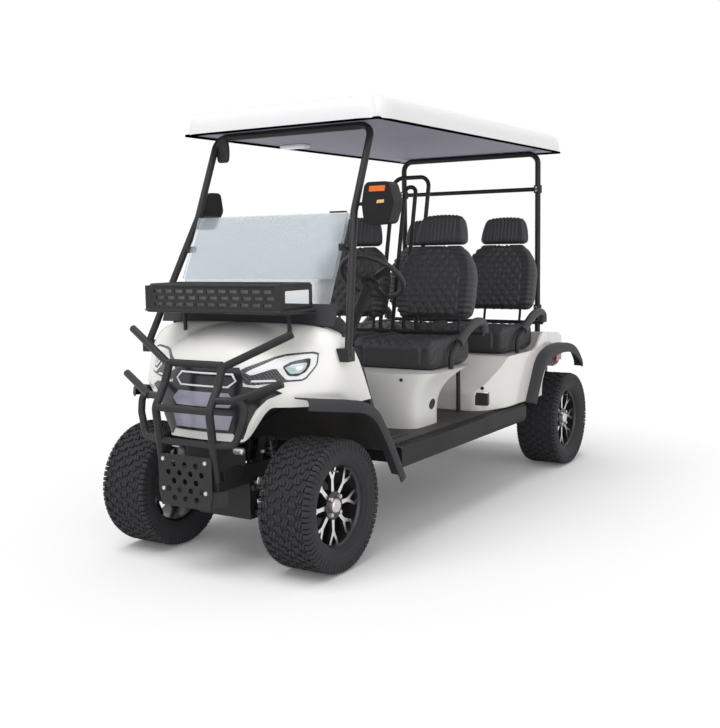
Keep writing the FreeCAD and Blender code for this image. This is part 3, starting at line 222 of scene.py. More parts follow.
def hide_group():
    """Pebbled vinyl hide with fine creases."""
    group, start, end = new_group("Vinyl hide")
    group_socket(group, "Pebble scale", "NodeSocketFloat", 420.0)
    group_socket(group, "Depth", "NodeSocketFloat", 0.0004)
    group_socket(group, "Mask", "NodeSocketFloat", output=True)
    group_socket(group, "Normal", "NodeSocketVector", output=True)
    place = group.nodes.new("ShaderNodeTexCoord")
    cells = group.nodes.new("ShaderNodeTexVoronoi")
    group.links.new(place.outputs["Object"], cells.inputs["Vector"])
    group.links.new(start.outputs["Pebble scale"], cells.inputs["Scale"])
    creases = object_noise(group, 60.0, 5)
    height = math_node(group, "ADD", cells.outputs["Distance"], creases)
    bump = group.nodes.new("ShaderNodeBump")
    bump.inputs["Strength"].default_value = 0.5
    group.links.new(start.outputs["Depth"], bump.inputs["Distance"])
    group.links.new(height, bump.inputs["Height"])
    group.links.new(creases, end.inputs["Mask"])
    group.links.new(bump.outputs["Normal"], end.inputs["Normal"])
    return group


def place_group(tree, name, **values):
    """Puts a shared group into a material with its own values."""
    node = tree.nodes.new("ShaderNodeGroup")
    node.node_tree = bpy.data.node_groups[name]
    for key, value in values.items():
        node.inputs[key.replace("_", " ").capitalize()].default_value = value
    return node


# Materials

def blank_material(name):
    """Material with its shader."""
    material = bpy.data.materials.new(name)
    material.use_nodes = True
    return material, material.node_tree, material.node_tree.nodes["Principled BSDF"]


def spread(tree, mask, low, high):
    """A mask from 0 to 1 turned into a value between two others."""
    node = tree.nodes.new("ShaderNodeMapRange")
    node.inputs["To Min"].default_value = low
    node.inputs["To Max"].default_value = high
    tree.links.new(mask, node.inputs["Value"])
    return node.outputs["Result"]


def moulded(name, colour, rough, tone=0.04, grain=400.0, depth=0.0002, edge=0.003, dust=0.0,
            **shader_values):
    """Moulded or painted finish on the shared surface group."""
    material, tree, shader = blank_material(name)
    surface = place_group(tree, "Moulded surface", colour=(*colour, 1), tone_amount=tone,
                          grain_scale=grain, grain_depth=depth, edge_radius=edge)
    paint = surface.outputs["Colour"]
    if dust:
        layer = place_group(tree, "Road dust", amount=dust)
        tree.links.new(paint, layer.inputs["Colour"])
        paint = layer.outputs["Colour"]
    tree.links.new(paint, shader.inputs["Base Color"])
    tree.links.new(surface.outputs["Normal"], shader.inputs["Normal"])
    wander = spread(tree, surface.outputs["Mask"], max(rough - 0.08, 0.02), rough + 0.08)
    tree.links.new(wander, shader.inputs["Roughness"])
    for key, value in shader_values.items():
        shader.inputs[key.replace("_", " ")].default_value = value
    return material


def vinyl(name, colour):
    """Glossy pebbled vinyl of the seats."""
    material, tree, shader = blank_material(name)
    surface = place_group(tree, "Moulded surface", colour=(*colour, 1), tone_amount=0.10,
                          tone_scale=14.0)
    hide = place_group(tree, "Vinyl hide")
    tree.links.new(surface.outputs["Colour"], shader.inputs["Base Color"])
    tree.links.new(hide.outputs["Normal"], shader.inputs["Normal"])
    tree.links.new(spread(tree, hide.outputs["Mask"], 0.10, 0.32), shader.inputs["Roughness"])
    shader.inputs["Specular IOR Level"].default_value = 0.9
    return material


def tyre_rubber(name):
    """Matt rubber with dust in it."""
    return moulded(name, (0.008, 0.008, 0.009), 0.72, tone=0.10, grain=900.0, depth=0.0004,
                   edge=0.001, dust=0.02, Specular_IOR_Level=0.0)


def machined_rim(name, face):
    """Black wheel finish with bright turned spoke faces at a distance from the middle plane."""
    slack = 0.0006
    material, tree, shader = blank_material(name)
    surface = place_group(tree, "Moulded surface", colour=(0.018, 0.018, 0.02, 1),
                          tone_amount=0.05, edge_radius=0.0015, grain_depth=0.00005)
    place = tree.nodes.new("ShaderNodeTexCoord")
    split = tree.nodes.new("ShaderNodeSeparateXYZ")
    tree.links.new(place.outputs["Object"], split.inputs["Vector"])
    turn = tree.nodes.new("ShaderNodeSeparateXYZ")
    tree.links.new(place.outputs["Normal"], turn.inputs["Vector"])
    side = math_node(tree, "ABSOLUTE", split.outputs["X"])
    above = math_node(tree, "GREATER_THAN", side, face - slack)
    below = math_node(tree, "LESS_THAN", side, face + slack)
    flat = math_node(tree, "GREATER_THAN", math_node(tree, "ABSOLUTE", turn.outputs["X"]), 0.9)
    bright = math_node(tree, "MULTIPLY", math_node(tree, "MULTIPLY", above, below), flat)
    paint = colour_mix(tree, bright, surface.outputs["Colour"], (0.82, 0.81, 0.80, 1))
    tree.links.new(paint, shader.inputs["Base Color"])
    tree.links.new(spread(tree, bright, 0.25, 0.32), shader.inputs["Roughness"])
    tree.links.new(bright, shader.inputs["Metallic"])
    tree.links.new(surface.outputs["Normal"], shader.inputs["Normal"])
    return material


def clear_pane(name):
    """Slightly frosted acrylic."""
    material, tree, shader = blank_material(name)
    haze = object_noise(tree, 3.0, 3)
    tree.links.new(spread(tree, haze, 0.10, 0.24), shader.inputs["Roughness"])
    shader.inputs["Base Color"].default_value = (0.80, 0.84, 0.87, 1)
    shader.inputs["Transmission Weight"].default_value = 0.84
    shader.inputs["IOR"].default_value = 1.3
    return material


def lamp_glass(name):
    """Clear lamp lens."""
    material, tree, shader = blank_material(name)
    wave = object_noise(tree, 30.0, 1)
    tree.links.new(spread(tree, wave, 0.02, 0.06), shader.inputs["Roughness"])
    shader.inputs["Base Color"].default_value = (0.95, 0.97, 0.98, 1)
    shader.inputs["Transmission Weight"].default_value = 1.0
    shader.inputs["IOR"].default_value = 1.25
    return material


def lamp_mesh(name):
    """Black honeycomb of the lamps' dark parts."""
    material, tree, shader = blank_material(name)
    place = tree.nodes.new("ShaderNodeTexCoord")
    cells = tree.nodes.new("ShaderNodeTexVoronoi")
    cells.inputs["Scale"].default_value = 150.0
    cells.inputs["Randomness"].default_value = 0.0
    tree.links.new(place.outputs["Object"], cells.inputs["Vector"])
    webs = math_node(tree, "GREATER_THAN", cells.outputs["Distance"], 0.56)
    paint = colour_mix(tree, webs, (0.010, 0.010, 0.012, 1), (0.16, 0.16, 0.17, 1))
    tree.links.new(paint, shader.inputs["Base Color"])
    tree.links.new(spread(tree, cells.outputs["Distance"], 0.25, 0.45), shader.inputs["Roughness"])
    return material


def rubber_mat(name):
    """Ribbed floor mat with fine cross grain."""
    return moulded(name, (0.030, 0.029, 0.029), 0.6, tone=0.10, grain=260.0, depth=0.0008,
                   edge=0.002, dust=0.12, Specular_IOR_Level=0.25)


def make_materials():
    """Every finish, under the record's slot names and a few of its own."""
    surface_group()
    dust_group()
    hide_group()
    tone = colours()
    rim_face = 0.066
    front = abs(joints["spin_front_left"]["pos_m"][0]) + rim_face
    rear = abs(joints["spin_rear_left"]["pos_m"][0]) + rim_face
    return {
        "body_white": moulded("body_white", tone.body, 0.24, tone=0.012, grain=1500.0,
                              depth=0.00002, edge=0.008, Coat_Weight=0.6, Coat_Roughness=0.06),
        "roof_white": moulded("roof_white", tone.roof, 0.34, tone=0.015, grain=700.0,
                              depth=0.00008, edge=0.006, Coat_Weight=0.3),
        "black_steel": moulded("black_steel", (0.016, 0.016, 0.018), 0.42, tone=0.08,
                               grain=900.0, depth=0.0002, edge=0.002, dust=0.03,
                               Specular_IOR_Level=0.3),
        "shock_steel": moulded("shock_steel", (0.05, 0.05, 0.055), 0.34, edge=0.001,
                               Metallic=0.5),
        "cast_parts": moulded("cast_parts", (0.07, 0.07, 0.074), 0.55, tone=0.12, grain=220.0,
                              depth=0.0006, edge=0.002, dust=0.25, Metallic=0.6),
        "motor_case": moulded("motor_case", (0.30, 0.31, 0.32), 0.42, tone=0.06, edge=0.003,
                              dust=0.25, Metallic=0.8),
        "battery_case": moulded("battery_case", (0.045, 0.045, 0.052), 0.55, edge=0.004),
        "black_plastic": moulded("black_plastic", (0.011, 0.011, 0.013), 0.46, tone=0.08,
                                 grain=520.0, depth=0.0003, edge=0.004, dust=0.02,
                                 Specular_IOR_Level=0.18),
        "black_gloss": moulded("black_gloss", (0.010, 0.010, 0.013), 0.36, grain=1200.0,
                               depth=0.00002, edge=0.003, Specular_IOR_Level=0.35),
        "lamp_mesh": lamp_mesh("lamp_mesh"),
        "lamp_lens": moulded("lamp_lens", (0.50, 0.62, 0.64), 0.10, tone=0.25, edge=0.001,
                             Coat_Weight=1.0, Coat_Roughness=0.03),
        "liner_grey": moulded("liner_grey", (0.42, 0.41, 0.43), 0.5, tone=0.2, edge=0.001),
        "grip_black": moulded("grip_black", (0.022, 0.022, 0.023), 0.5, grain=600.0,
                              depth=0.0004, edge=0.001),
        "mat_rubber": rubber_mat("mat_rubber"),
        "seat_black": vinyl("seat_black", tone.seat),
        "ceiling_grey": moulded("ceiling_grey", (0.27, 0.26, 0.33), 0.62, tone=0.06,
                                grain=240.0, depth=0.0006, edge=0.002),
        "clear_pane": clear_pane("clear_pane"),
        "lamp_clear": lamp_glass("lamp_clear"),
        "lamp_red": moulded("lamp_red", (0.50, 0.02, 0.02), 0.14, grain=300.0, depth=0.0001,
                            edge=0.002, Coat_Weight=0.6),
        "tyre_rubber": tyre_rubber("tyre_rubber"),
        "rim_alloy": machined_rim("rim_alloy", front),
        "rim_alloy_rear": machined_rim("rim_alloy_rear", rear),
        "bright_metal": moulded("bright_metal", (0.66, 0.63, 0.62), 0.34, tone=0.03,
                                edge=0.0005, Metallic=0.8),
        "white_trim": moulded("white_trim", (0.86, 0.87, 0.88), 0.22, tone=0.01, edge=0.001),
        "grille_panel": moulded("grille_panel", tone.panel, 0.26, tone=0.05, grain=500.0,
                                depth=0.0001, edge=0.002, Coat_Weight=0.4),
        "orange_lens": moulded("orange_lens", (0.85, 0.16, 0.01), 0.2, edge=0.001),
        "amber_lens": moulded("amber_lens", (0.80, 0.52, 0.22), 0.2, edge=0.001),
        "mirror_glass": moulded("mirror_glass", (0.9, 0.9, 0.9), 0.1, tone=0.0, depth=0.0,
                                Metallic=1.0),
    }


# Mesh helpers

def add_piece(name, mesh, material, body="root", stands_for=(), sharp=40.0):
    """Turns a bmesh into a finished piece that rides on a body."""
    data = bpy.data.meshes.new(name)
    mesh.to_mesh(data)
    mesh.free()
    for polygon in data.polygons:
        polygon.use_smooth = True
    data.set_sharp_from_angle(angle=math.radians(sharp))
    data.materials.append(bpy.data.materials[material])
    piece = bpy.data.objects.new(name, data)
    bpy.context.scene.collection.objects.link(piece)
    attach(piece, body)
    if stands_for:
        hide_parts(*stands_for)
    return piece


def everything(mesh):
    """All points, edges and faces of a mesh."""
    return mesh.verts[:] + mesh.edges[:] + mesh.faces[:]


def only(kind, items):
    """The items of one kind in an operator's result."""
    return [item for item in items if isinstance(item, kind)]


def merge_in(mesh, part):
    """Adds the faces of a part to a mesh, and frees the part."""
    data = bpy.data.meshes.new("part")
    part.to_mesh(data)
    part.free()
    mesh.from_mesh(data)
    bpy.data.meshes.remove(data)


def face_up(mesh):
    """Turns the faces of a skin to its upper side."""
    bmesh.ops.recalc_face_normals(mesh, faces=mesh.faces)
    if sum(face.normal.z * face.calc_area() for face in mesh.faces) < 0:
        bmesh.ops.reverse_faces(mesh, faces=mesh.faces)


def even_block(size, cells):
    """Closed block of even cells about the origin, ready to be shaped as a pad."""
    mesh = bmesh.new()
    across, along, up = cells
    for side in (-0.5, 0.5):
        sheet = bmesh.ops.create_grid(mesh, x_segments=across, y_segments=along, size=0.5)
        bmesh.ops.translate(mesh, verts=sheet["verts"], vec=(0, 0, side))
    borders = [edge for edge in mesh.edges if edge.is_boundary]
    bmesh.ops.bridge_loops(mesh, edges=borders)
    uprights = [edge for edge in mesh.edges
                if abs(edge.verts[0].co.z - edge.verts[1].co.z) > 0.5]
    bmesh.ops.subdivide_edges(mesh, edges=uprights, cuts=up)
    reach = max(vert.co.x for vert in mesh.verts)
    scale = [length / 2 / reach for length in size[:2]] + [size[2]]
    bmesh.ops.scale(mesh, vec=scale, verts=mesh.verts)
    bmesh.ops.recalc_face_normals(mesh, faces=mesh.faces)
    return mesh


def round_off(mesh, size, radius):
    """Rounds the edges and corners of a block about the origin."""
    for vert in mesh.verts:
        core = Vector(max(radius - length / 2, min(length / 2 - radius, value))
                      for value, length in zip(vert.co, size))
        away = vert.co - core
        if away.length > 1e-6:
            vert.co = core + away.normalized() * radius


def ease(value):
    """Smooth step from 0 to 1."""
    value = max(0.0, min(1.0, value))
    return value * value * (3 - 2 * value)


def puff(distance, width):
    """Swell beside a sewn line, 0 on the line."""
    return 1 - math.exp(-(distance / width) ** 2)


def to_line(value, pitch):
    """Distance to the nearest of evenly spaced lines."""
    return abs(value / pitch - round(value / pitch)) * pitch


def diamonds(across, along, pitch):
    """Swell of diamond quilting."""
    first = to_line(across + along * 0.8, pitch)
    second = to_line(across - along * 0.8, pitch)
    return puff(min(first, second), pitch * 0.2)


def push_out(mesh, height_at):
    """Moves each point along its normal by a height worked out from its place."""
    mesh.normal_update()
    moves = [(vert, vert.normal * height_at(vert.co, vert.normal)) for vert in mesh.verts]
    for vert, move in moves:
        vert.co += move


def spun(mesh, profile, steps):
    """Closed ring from an (x, radius) profile turned about the X axis."""
    points = [mesh.verts.new((x, 0, radius)) for x, radius in profile]
    edges = [mesh.edges.new((points[index - 1], points[index])) for index in range(len(points))]
    bmesh.ops.spin(mesh, geom=points + edges, cent=(0, 0, 0), axis=(1, 0, 0), dvec=(0, 0, 0),
                   angle=2 * math.pi, steps=steps, use_merge=True)
    bmesh.ops.remove_doubles(mesh, verts=mesh.verts, dist=1e-5)
    bmesh.ops.recalc_face_normals(mesh, faces=mesh.faces)


def hex_head(mesh, place, normal, radius, height):
    """Hexagon bolt head or nut."""
    turn = Vector((0, 0, 1)).rotation_difference(Vector(normal)).to_matrix().to_4x4()
    middle = Vector(place) + Vector(normal).normalized() * height / 2
    bmesh.ops.create_cone(mesh, cap_ends=True, segments=6, radius1=radius, radius2=radius * 0.94,
                          depth=height, matrix=Matrix.Translation(middle) @ turn)


def node_tree(name):
    """Search tree of a carried-over node's faces."""
    data = frame["nodes"][name].data
    return BVHTree.FromPolygons([vert.co for vert in data.vertices],
                                [list(face.vertices) for face in data.polygons])


def slice_evenly(mesh, step, axes=(0, 2)):
    """Cuts faces by evenly spaced planes so that they can follow a curved surface."""
    for axis in axes:
        values = [vert.co[axis] for vert in mesh.verts]
        level = math.ceil(min(values) / step) * step
        normal = Vector((0, 0, 0))
        normal[axis] = 1
        while level < max(values):
            place = Vector((0, 0, 0))
            place[axis] = level
            bmesh.ops.bisect_plane(mesh, geom=everything(mesh), dist=1e-6, plane_co=place,
                                   plane_no=normal)
            level += step


def lay_on(mesh, tree, lift, aim):
    """Drops each point along a direction on to a surface, and lifts it back off."""
    far = 3.0
    for vert in mesh.verts:
        origin = vert.co - vert.co.dot(aim) * aim - aim * far
        hit = tree.ray_cast(origin, aim)[0]
        if hit is not None:
            vert.co = hit - aim * lift


def plate(outline, tree, lift, thickness, ring=0.0, step=0.02, turn=0.0, both=False):
    """Thin plate, or ring, cut to an (across, z) outline and laid on a surface ahead of it.

    A turn about Z aims it at a side of the nose; across is then measured along the turned axis.
    """
    mesh = bmesh.new()
    verts = [mesh.verts.new((x, 0, z)) for x, z in outline]
    if ring:
        xs, zs = zip(*outline)
        middle = Vector(((min(xs) + max(xs)) / 2, 0, (min(zs) + max(zs)) / 2))
        narrow = (1 - 2 * ring / (max(xs) - min(xs)), 1, 1 - 2 * ring / (max(zs) - min(zs)))
        inner = [mesh.verts.new(middle + (vert.co - middle) * Vector(narrow)) for vert in verts]
        for index in range(len(verts)):
            mesh.faces.new((verts[index - 1], verts[index], inner[index], inner[index - 1]))
    else:
        mesh.faces.new(verts)
    slice_evenly(mesh, step)
    bmesh.ops.triangulate(mesh, faces=mesh.faces)
    spin = Matrix.Rotation(turn, 3, "Z")
    bmesh.ops.rotate(mesh, cent=(0, 0, 0), matrix=spin, verts=mesh.verts)
    if turn:
        bmesh.ops.translate(mesh, verts=mesh.verts, vec=(0, axle, 0))
    aim = spin @ Vector((0, 1, 0))
    lay_on(mesh, tree, lift, aim)
    bmesh.ops.recalc_face_normals(mesh, faces=mesh.faces)
    if sum(face.normal.dot(aim) for face in mesh.faces) > 0:
        bmesh.ops.reverse_faces(mesh, faces=mesh.faces)
    bmesh.ops.solidify(mesh, geom=mesh.faces[:], thickness=thickness)
    if both:
        add_mirror(mesh)
    return mesh


def add_mirror(mesh):
    """Adds the mirror image on the cart's other side."""
    made = bmesh.ops.duplicate(mesh, geom=everything(mesh))["geom"]
    bmesh.ops.scale(mesh, vec=(-1, 1, 1), verts=only(bmesh.types.BMVert, made))
    bmesh.ops.reverse_faces(mesh, faces=only(bmesh.types.BMFace, made))


# Seats

cushion_size = (0.482, 0.424, 0.140)
back_size = (0.464, 0.398, 0.088)
head_size = (0.308, 0.166, 0.072)
seat_centre = 0.275
cushion_reach = 0.436
cushion_inset = 0.009
back_foot = 0.145
back_base = 1.0
back_lean = math.radians(-12)
row_gap = 0.85
seam_width = 0.006
seam_sink = 0.003


def cushion_mesh():
    """Seat cushion: diamond quilting between ribbed bolsters, crowned on top."""
    wide, deep, tall = cushion_size
    mesh = even_block(cushion_size, (84, 74, 14))
    round_off(mesh, cushion_size, 0.042)
    seam = wide / 2 - 0.066
    for vert in mesh.verts:
        crown = (1 - (2 * vert.co.x / wide) ** 2) * (1 - (2 * vert.co.y / deep) ** 2)
        if vert.co.z > 0:
            vert.co.z += 0.008 * crown
            vert.co.z += 0.014 * ease((abs(vert.co.x) - seam + 0.01) / 0.05)
        pinch = 1 - (2 * vert.co.z / tall) ** 2
        vert.co.x += math.copysign(0.003, vert.co.x) * pinch * ease(abs(vert.co.x) / 0.1 - 1)

    pitch, rise, rib = sizes().quilt_pitch, sizes().quilt_height, sizes().rib_pitch

    def height_at(place, normal):
        along = place.y - place.z
        top = ease((place.z + tall * 0.34) / 0.02)
        line = puff(abs(abs(place.x) - seam), seam_width)
        if abs(place.x) < seam:
            level = ease(normal.z * 3 - 1)
            welt = puff(abs(place.y + deep / 2 - 0.03), 0.005)
            quilt = diamonds(place.x, place.y, pitch) * level * line * welt
            return (rise * (quilt + (1 - level) * line) - seam_sink) * top
        ribs = puff(to_line(along, rib), rib * 0.22)
        return (rise * 0.9 * ribs * line - seam_sink) * top

    push_out(mesh, height_at)
    return mesh


def back_mesh():
    """Seat back: quilted middle, ribbed bolsters and a plain rear."""
    wide, tall, thick = back_size
    mesh = even_block(back_size, (80, 72, 10))
    round_off(mesh, back_size, 0.034)
    seam = 0.155
    for vert in mesh.verts:
        share = vert.co.y / tall + 0.5
        narrow = 0.09 * max(0.0, 1 - share / 0.3) ** 2 + 0.40 * max(0.0, (share - 0.5) / 0.5) ** 2.2
        vert.co.x *= 1 - narrow
        if vert.co.z > 0:
            vert.co.z += 0.012 * ease((abs(vert.co.x) - seam) / 0.05)
            vert.co.z += 0.006 * math.sin(math.pi * share)

    pitch, rise, rib = sizes().quilt_pitch, sizes().quilt_height, sizes().rib_pitch

    def height_at(place, normal):
        front = ease((place.z + thick * 0.1) / 0.02)
        share = place.y / tall + 0.5
        edge = seam * (1 - 0.75 * max(0.0, (share - 0.5) / 0.5) ** 2.6)
        line = puff(abs(abs(place.x) - edge), seam_width)
        if abs(place.x) < edge:
            return (rise * diamonds(place.x, place.y, pitch) * line - seam_sink) * front
        ribs = puff(to_line(place.y, rib), rib * 0.22)
        return (rise * 0.9 * ribs * line - seam_sink) * front

    push_out(mesh, height_at)
    return mesh


def head_mesh():
    """Headrest with upright ribs between plain ends."""
    wide, tall, thick = head_size
    mesh = even_block(head_size, (66, 34, 8))
    round_off(mesh, head_size, 0.032)
    for vert in mesh.verts:
        share = vert.co.y / tall + 0.5
        vert.co.x *= 1 - 0.22 * max(0.0, share) ** 2.4
        vert.co.y -= 0.016 * (2 * vert.co.x / wide) ** 2 * share

    rib_pitch, rib_end = 0.024, wide / 2 - 0.055

    def height_at(place, normal):
        front = ease((place.z + thick * 0.1) / 0.02)
        if abs(place.x) < rib_end:
            return (0.006 * puff(to_line(place.x, rib_pitch), 0.005) - 0.002) * front
        return 0.004 * puff(abs(abs(place.x) - rib_end), seam_width) * front

    push_out(mesh, height_at)
    return mesh


def stand_up(mesh, tall, lift, shift):
    """Turns a flat pad upright, its padded side forward."""
    bmesh.ops.rotate(mesh, cent=(0, 0, 0), verts=mesh.verts,
                     matrix=Matrix.Rotation(math.radians(90), 3, "X"))
    bmesh.ops.translate(mesh, verts=mesh.verts, vec=(0, shift, lift + tall / 2))


def add_seats():
    """Two rows of two padded seats."""
    low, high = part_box("cushions")
    for row, start, foot in (("front", low.y, back_foot),
                             ("rear", high.y - cushion_reach, back_foot + row_gap)):
        for hand, side in hands:
            mesh = cushion_mesh()
            middle = start + cushion_inset + cushion_size[1] / 2
            bmesh.ops.translate(mesh, verts=mesh.verts,
                                vec=(side * seat_centre, middle, low.z + cushion_size[2] / 2))
            piece = add_piece(f"cushion_{row}_{hand}", mesh, "seat_black",
                              stands_for=("cushions",), sharp=80)
            for kind, make, size, lift, shift in (
                    ("back", back_mesh, back_size, 0.002, -0.001),
                    ("headrest", head_mesh, head_size, 0.414, 0.003)):
                mesh = make()
                stand_up(mesh, size[1], lift, shift)
                bmesh.ops.rotate(mesh, cent=(0, 0, 0), verts=mesh.verts,
                                 matrix=Matrix.Rotation(back_lean, 3, "X"))
                bmesh.ops.translate(mesh, verts=mesh.verts,
                                    vec=(side * seat_centre, foot, back_base))
                piece = add_piece(f"{kind}_{row}_{hand}", mesh, "seat_black",
                                  stands_for=("backrests",), sharp=80)


def sleeve_mesh(route, radius):
    """Round sleeve along a line of points, its ends closed."""
    curve = bpy.data.curves.new("sleeve", "CURVE")
    curve.dimensions = "3D"
    curve.bevel_depth = radius
    curve.bevel_resolution = 5
    curve.use_fill_caps = True
    spline = curve.splines.new("POLY")
    spline.points.add(len(route) - 1)
    for point, place in zip(spline.points, route):
        point.co = (*place, 1)
    holder = bpy.data.objects.new("sleeve", curve)
    made = bpy.data.meshes.new_from_object(holder)
    mesh = bmesh.new()
    mesh.from_mesh(made)
    bmesh.ops.remove_doubles(mesh, verts=mesh.verts, dist=1e-5)
    bmesh.ops.recalc_face_normals(mesh, faces=mesh.faces)
    bpy.data.objects.remove(holder)
    bpy.data.curves.remove(curve)
    bpy.data.meshes.remove(made)
    return mesh


def add_arm_pads():
    """Padded sleeves over the hip bars at the ends of both seat rows."""
    across, radius = 0.551, 0.025
    for row, shift in (("front", 0.0), ("rear", row_gap)):
        for hand, side in hands:
            route = smooth_path([(side * across, shift + y, z) for y, z in (
                (0.186, 0.925), (0.186, 0.985), (0.056, 0.993), (-0.120, 0.895))])
            add_piece(f"arm_pad_{row}_{hand}", sleeve_mesh(route, radius), "seat_black",
                      sharp=60)


# Wheels

tyre_outer = 0.2912
tread_base = 0.2805
tyre_half = 0.1272
shoulder_place = 0.114
lug_top = 0.270
# Phase, place across, width, length and skew of each row of tread blocks
block_rows = ((0.0, 0.018, 0.026, 0.034, 22), (0.5, 0.053, 0.029, 0.030, -26),
              (0.0, 0.086, 0.026, 0.034, 18))
# Phase of the long and the short shoulder block, its length and its side lug's reach
shoulder_blocks = ((0.25, 0.0264, 0.026), (0.75, 0.0176, 0.015))


def tread_block(mesh, across, along, wide, long, skew, drop=0.0):
    """Tapered tread block wrapped on the tyre at a place across and along it."""
    turn = math.radians(skew)
    for vert in bmesh.ops.create_cube(mesh, size=1.0)["verts"]:
        high = vert.co.z > 0
        shrink = 0.86 if high else 1.0
        flat_x = vert.co.x * wide * shrink
        flat_y = vert.co.y * long * shrink
        x = across + flat_x * math.cos(turn) - flat_y * math.sin(turn)
        arc = along + flat_x * math.sin(turn) + flat_y * math.cos(turn)
        outward = max(0.0, abs(x) - 0.098) / 0.03
        radius = (tyre_outer if high else tread_base - 0.004) - drop * outward ** 2
        angle = arc / tyre_outer
        vert.co = (x, radius * math.sin(angle), -radius * math.cos(angle))


def tyre_mesh():
    """All-terrain tyre: bulged carcass, staggered rows of blocks and side lugs."""
    mesh = bmesh.new()
    pitches = sizes().tread_pitches
    pitch = 2 * math.pi * tyre_outer / pitches
    for side in (-1, 1):
        for phase, across, wide, long, skew in block_rows:
            start = (phase + 0.25 * (side > 0)) * pitch
            for half in (-1, 1):
                shift = half * (wide / 4 + 0.0006)
                tread_block(mesh, side * (across + shift), start, wide / 2 - 0.001, long,
                            skew * side)
        for phase, long, reach in shoulder_blocks:
            start = (phase + 0.1 * side) * pitch
            tread_block(mesh, side * shoulder_place, start, 0.025, long, 0, drop=0.010)
            arc = start / tyre_outer
            for vert in bmesh.ops.create_cube(mesh, size=1.0)["verts"]:
                radius = lug_top + (vert.co.z - 0.5) * reach
                angle = arc + vert.co.y * 0.020 / tyre_outer
                x = side * (tyre_half - 0.004 + vert.co.x * 0.007)
                vert.co = (x, radius * math.sin(angle), -radius * math.cos(angle))
    bmesh.ops.recalc_face_normals(mesh, faces=mesh.faces)
    bmesh.ops.bevel(mesh, geom=mesh.edges[:], offset=0.0012, segments=1, profile=0.5,
                    affect="EDGES", material=-1)
    bmesh.ops.spin(mesh, geom=everything(mesh), cent=(0, 0, 0), axis=(1, 0, 0), dvec=(0, 0, 0),
                   angle=2 * math.pi * (pitches - 1) / pitches, steps=pitches - 1,
                   use_duplicate=True)
    carcass = bmesh.new()
    side_line = [
        (0.088, 0.1780), (0.100, 0.1800), (0.1085, 0.1880), (0.1130, 0.1990), (0.1152, 0.2000),
        (0.1164, 0.2030), (0.1200, 0.2130), (0.1240, 0.2290), (0.1252, 0.2295), (0.1256, 0.2320),
        (0.1250, 0.2400), (0.1240, 0.2540), (0.1200, 0.2660), (0.1120, 0.2745), (0.0980, 0.2790),
        (0.0600, 0.2802),
    ]
    profile = side_line + [(-x, radius) for x, radius in reversed(side_line)]
    spun(carcass, profile, 96)
    merge_in(mesh, carcass)
    return mesh


def to_wheel(mesh, corner):
    """Moves a wheel piece from the X axis to its corner of the cart."""
    place = Vector(joints[f"spin_{corner}"]["pos_m"])
    if place.x < 0:
        bmesh.ops.scale(mesh, vec=(-1, 1, 1), verts=mesh.verts)
        bmesh.ops.reverse_faces(mesh, faces=mesh.faces)
    bmesh.ops.translate(mesh, verts=mesh.verts, vec=place)


def add_tyres():
    """A tyre at each corner."""
    for corner in corners:
        mesh = tyre_mesh()
        to_wheel(mesh, corner)
        add_piece(f"tyre_tread_{corner}", mesh, "tyre_rubber",
                  body=f"wheel_{corner}", stands_for=(f"tyre_{corner}",), sharp=35)


def add_wheel_trim():
    """Centre cap, nuts and valve on each rim."""
    nut_count, nut_circle = 4, 0.048
    for corner in corners:
        cap = bmesh.new()
        spun(cap, [(0.060, 0.034), (0.084, 0.032), (0.090, 0.026), (0.091, 0.001), (0.060, 0.001)],
             40)
        to_wheel(cap, corner)
        add_piece(f"wheel_cap_{corner}", cap, "bright_metal",
                  body=f"wheel_{corner}")
        nuts = bmesh.new()
        for index in range(nut_count):
            turn = 2 * math.pi * (index + 0.5) / nut_count
            place = (0.070, nut_circle * math.cos(turn), nut_circle * math.sin(turn))
            hex_head(nuts, place, (1, 0, 0), 0.0105, 0.016)
        valve = Matrix.Translation((0.080, 0.0, 0.152)) @ Matrix.Rotation(math.pi / 2, 4, "Y")
        bmesh.ops.create_cone(nuts, cap_ends=True, segments=10, radius1=0.004, radius2=0.003,
                              depth=0.03, matrix=valve)
        to_wheel(nuts, corner)
        add_piece(f"wheel_nuts_{corner}", nuts, "bright_metal",
                  body=f"wheel_{corner}")


# Roof

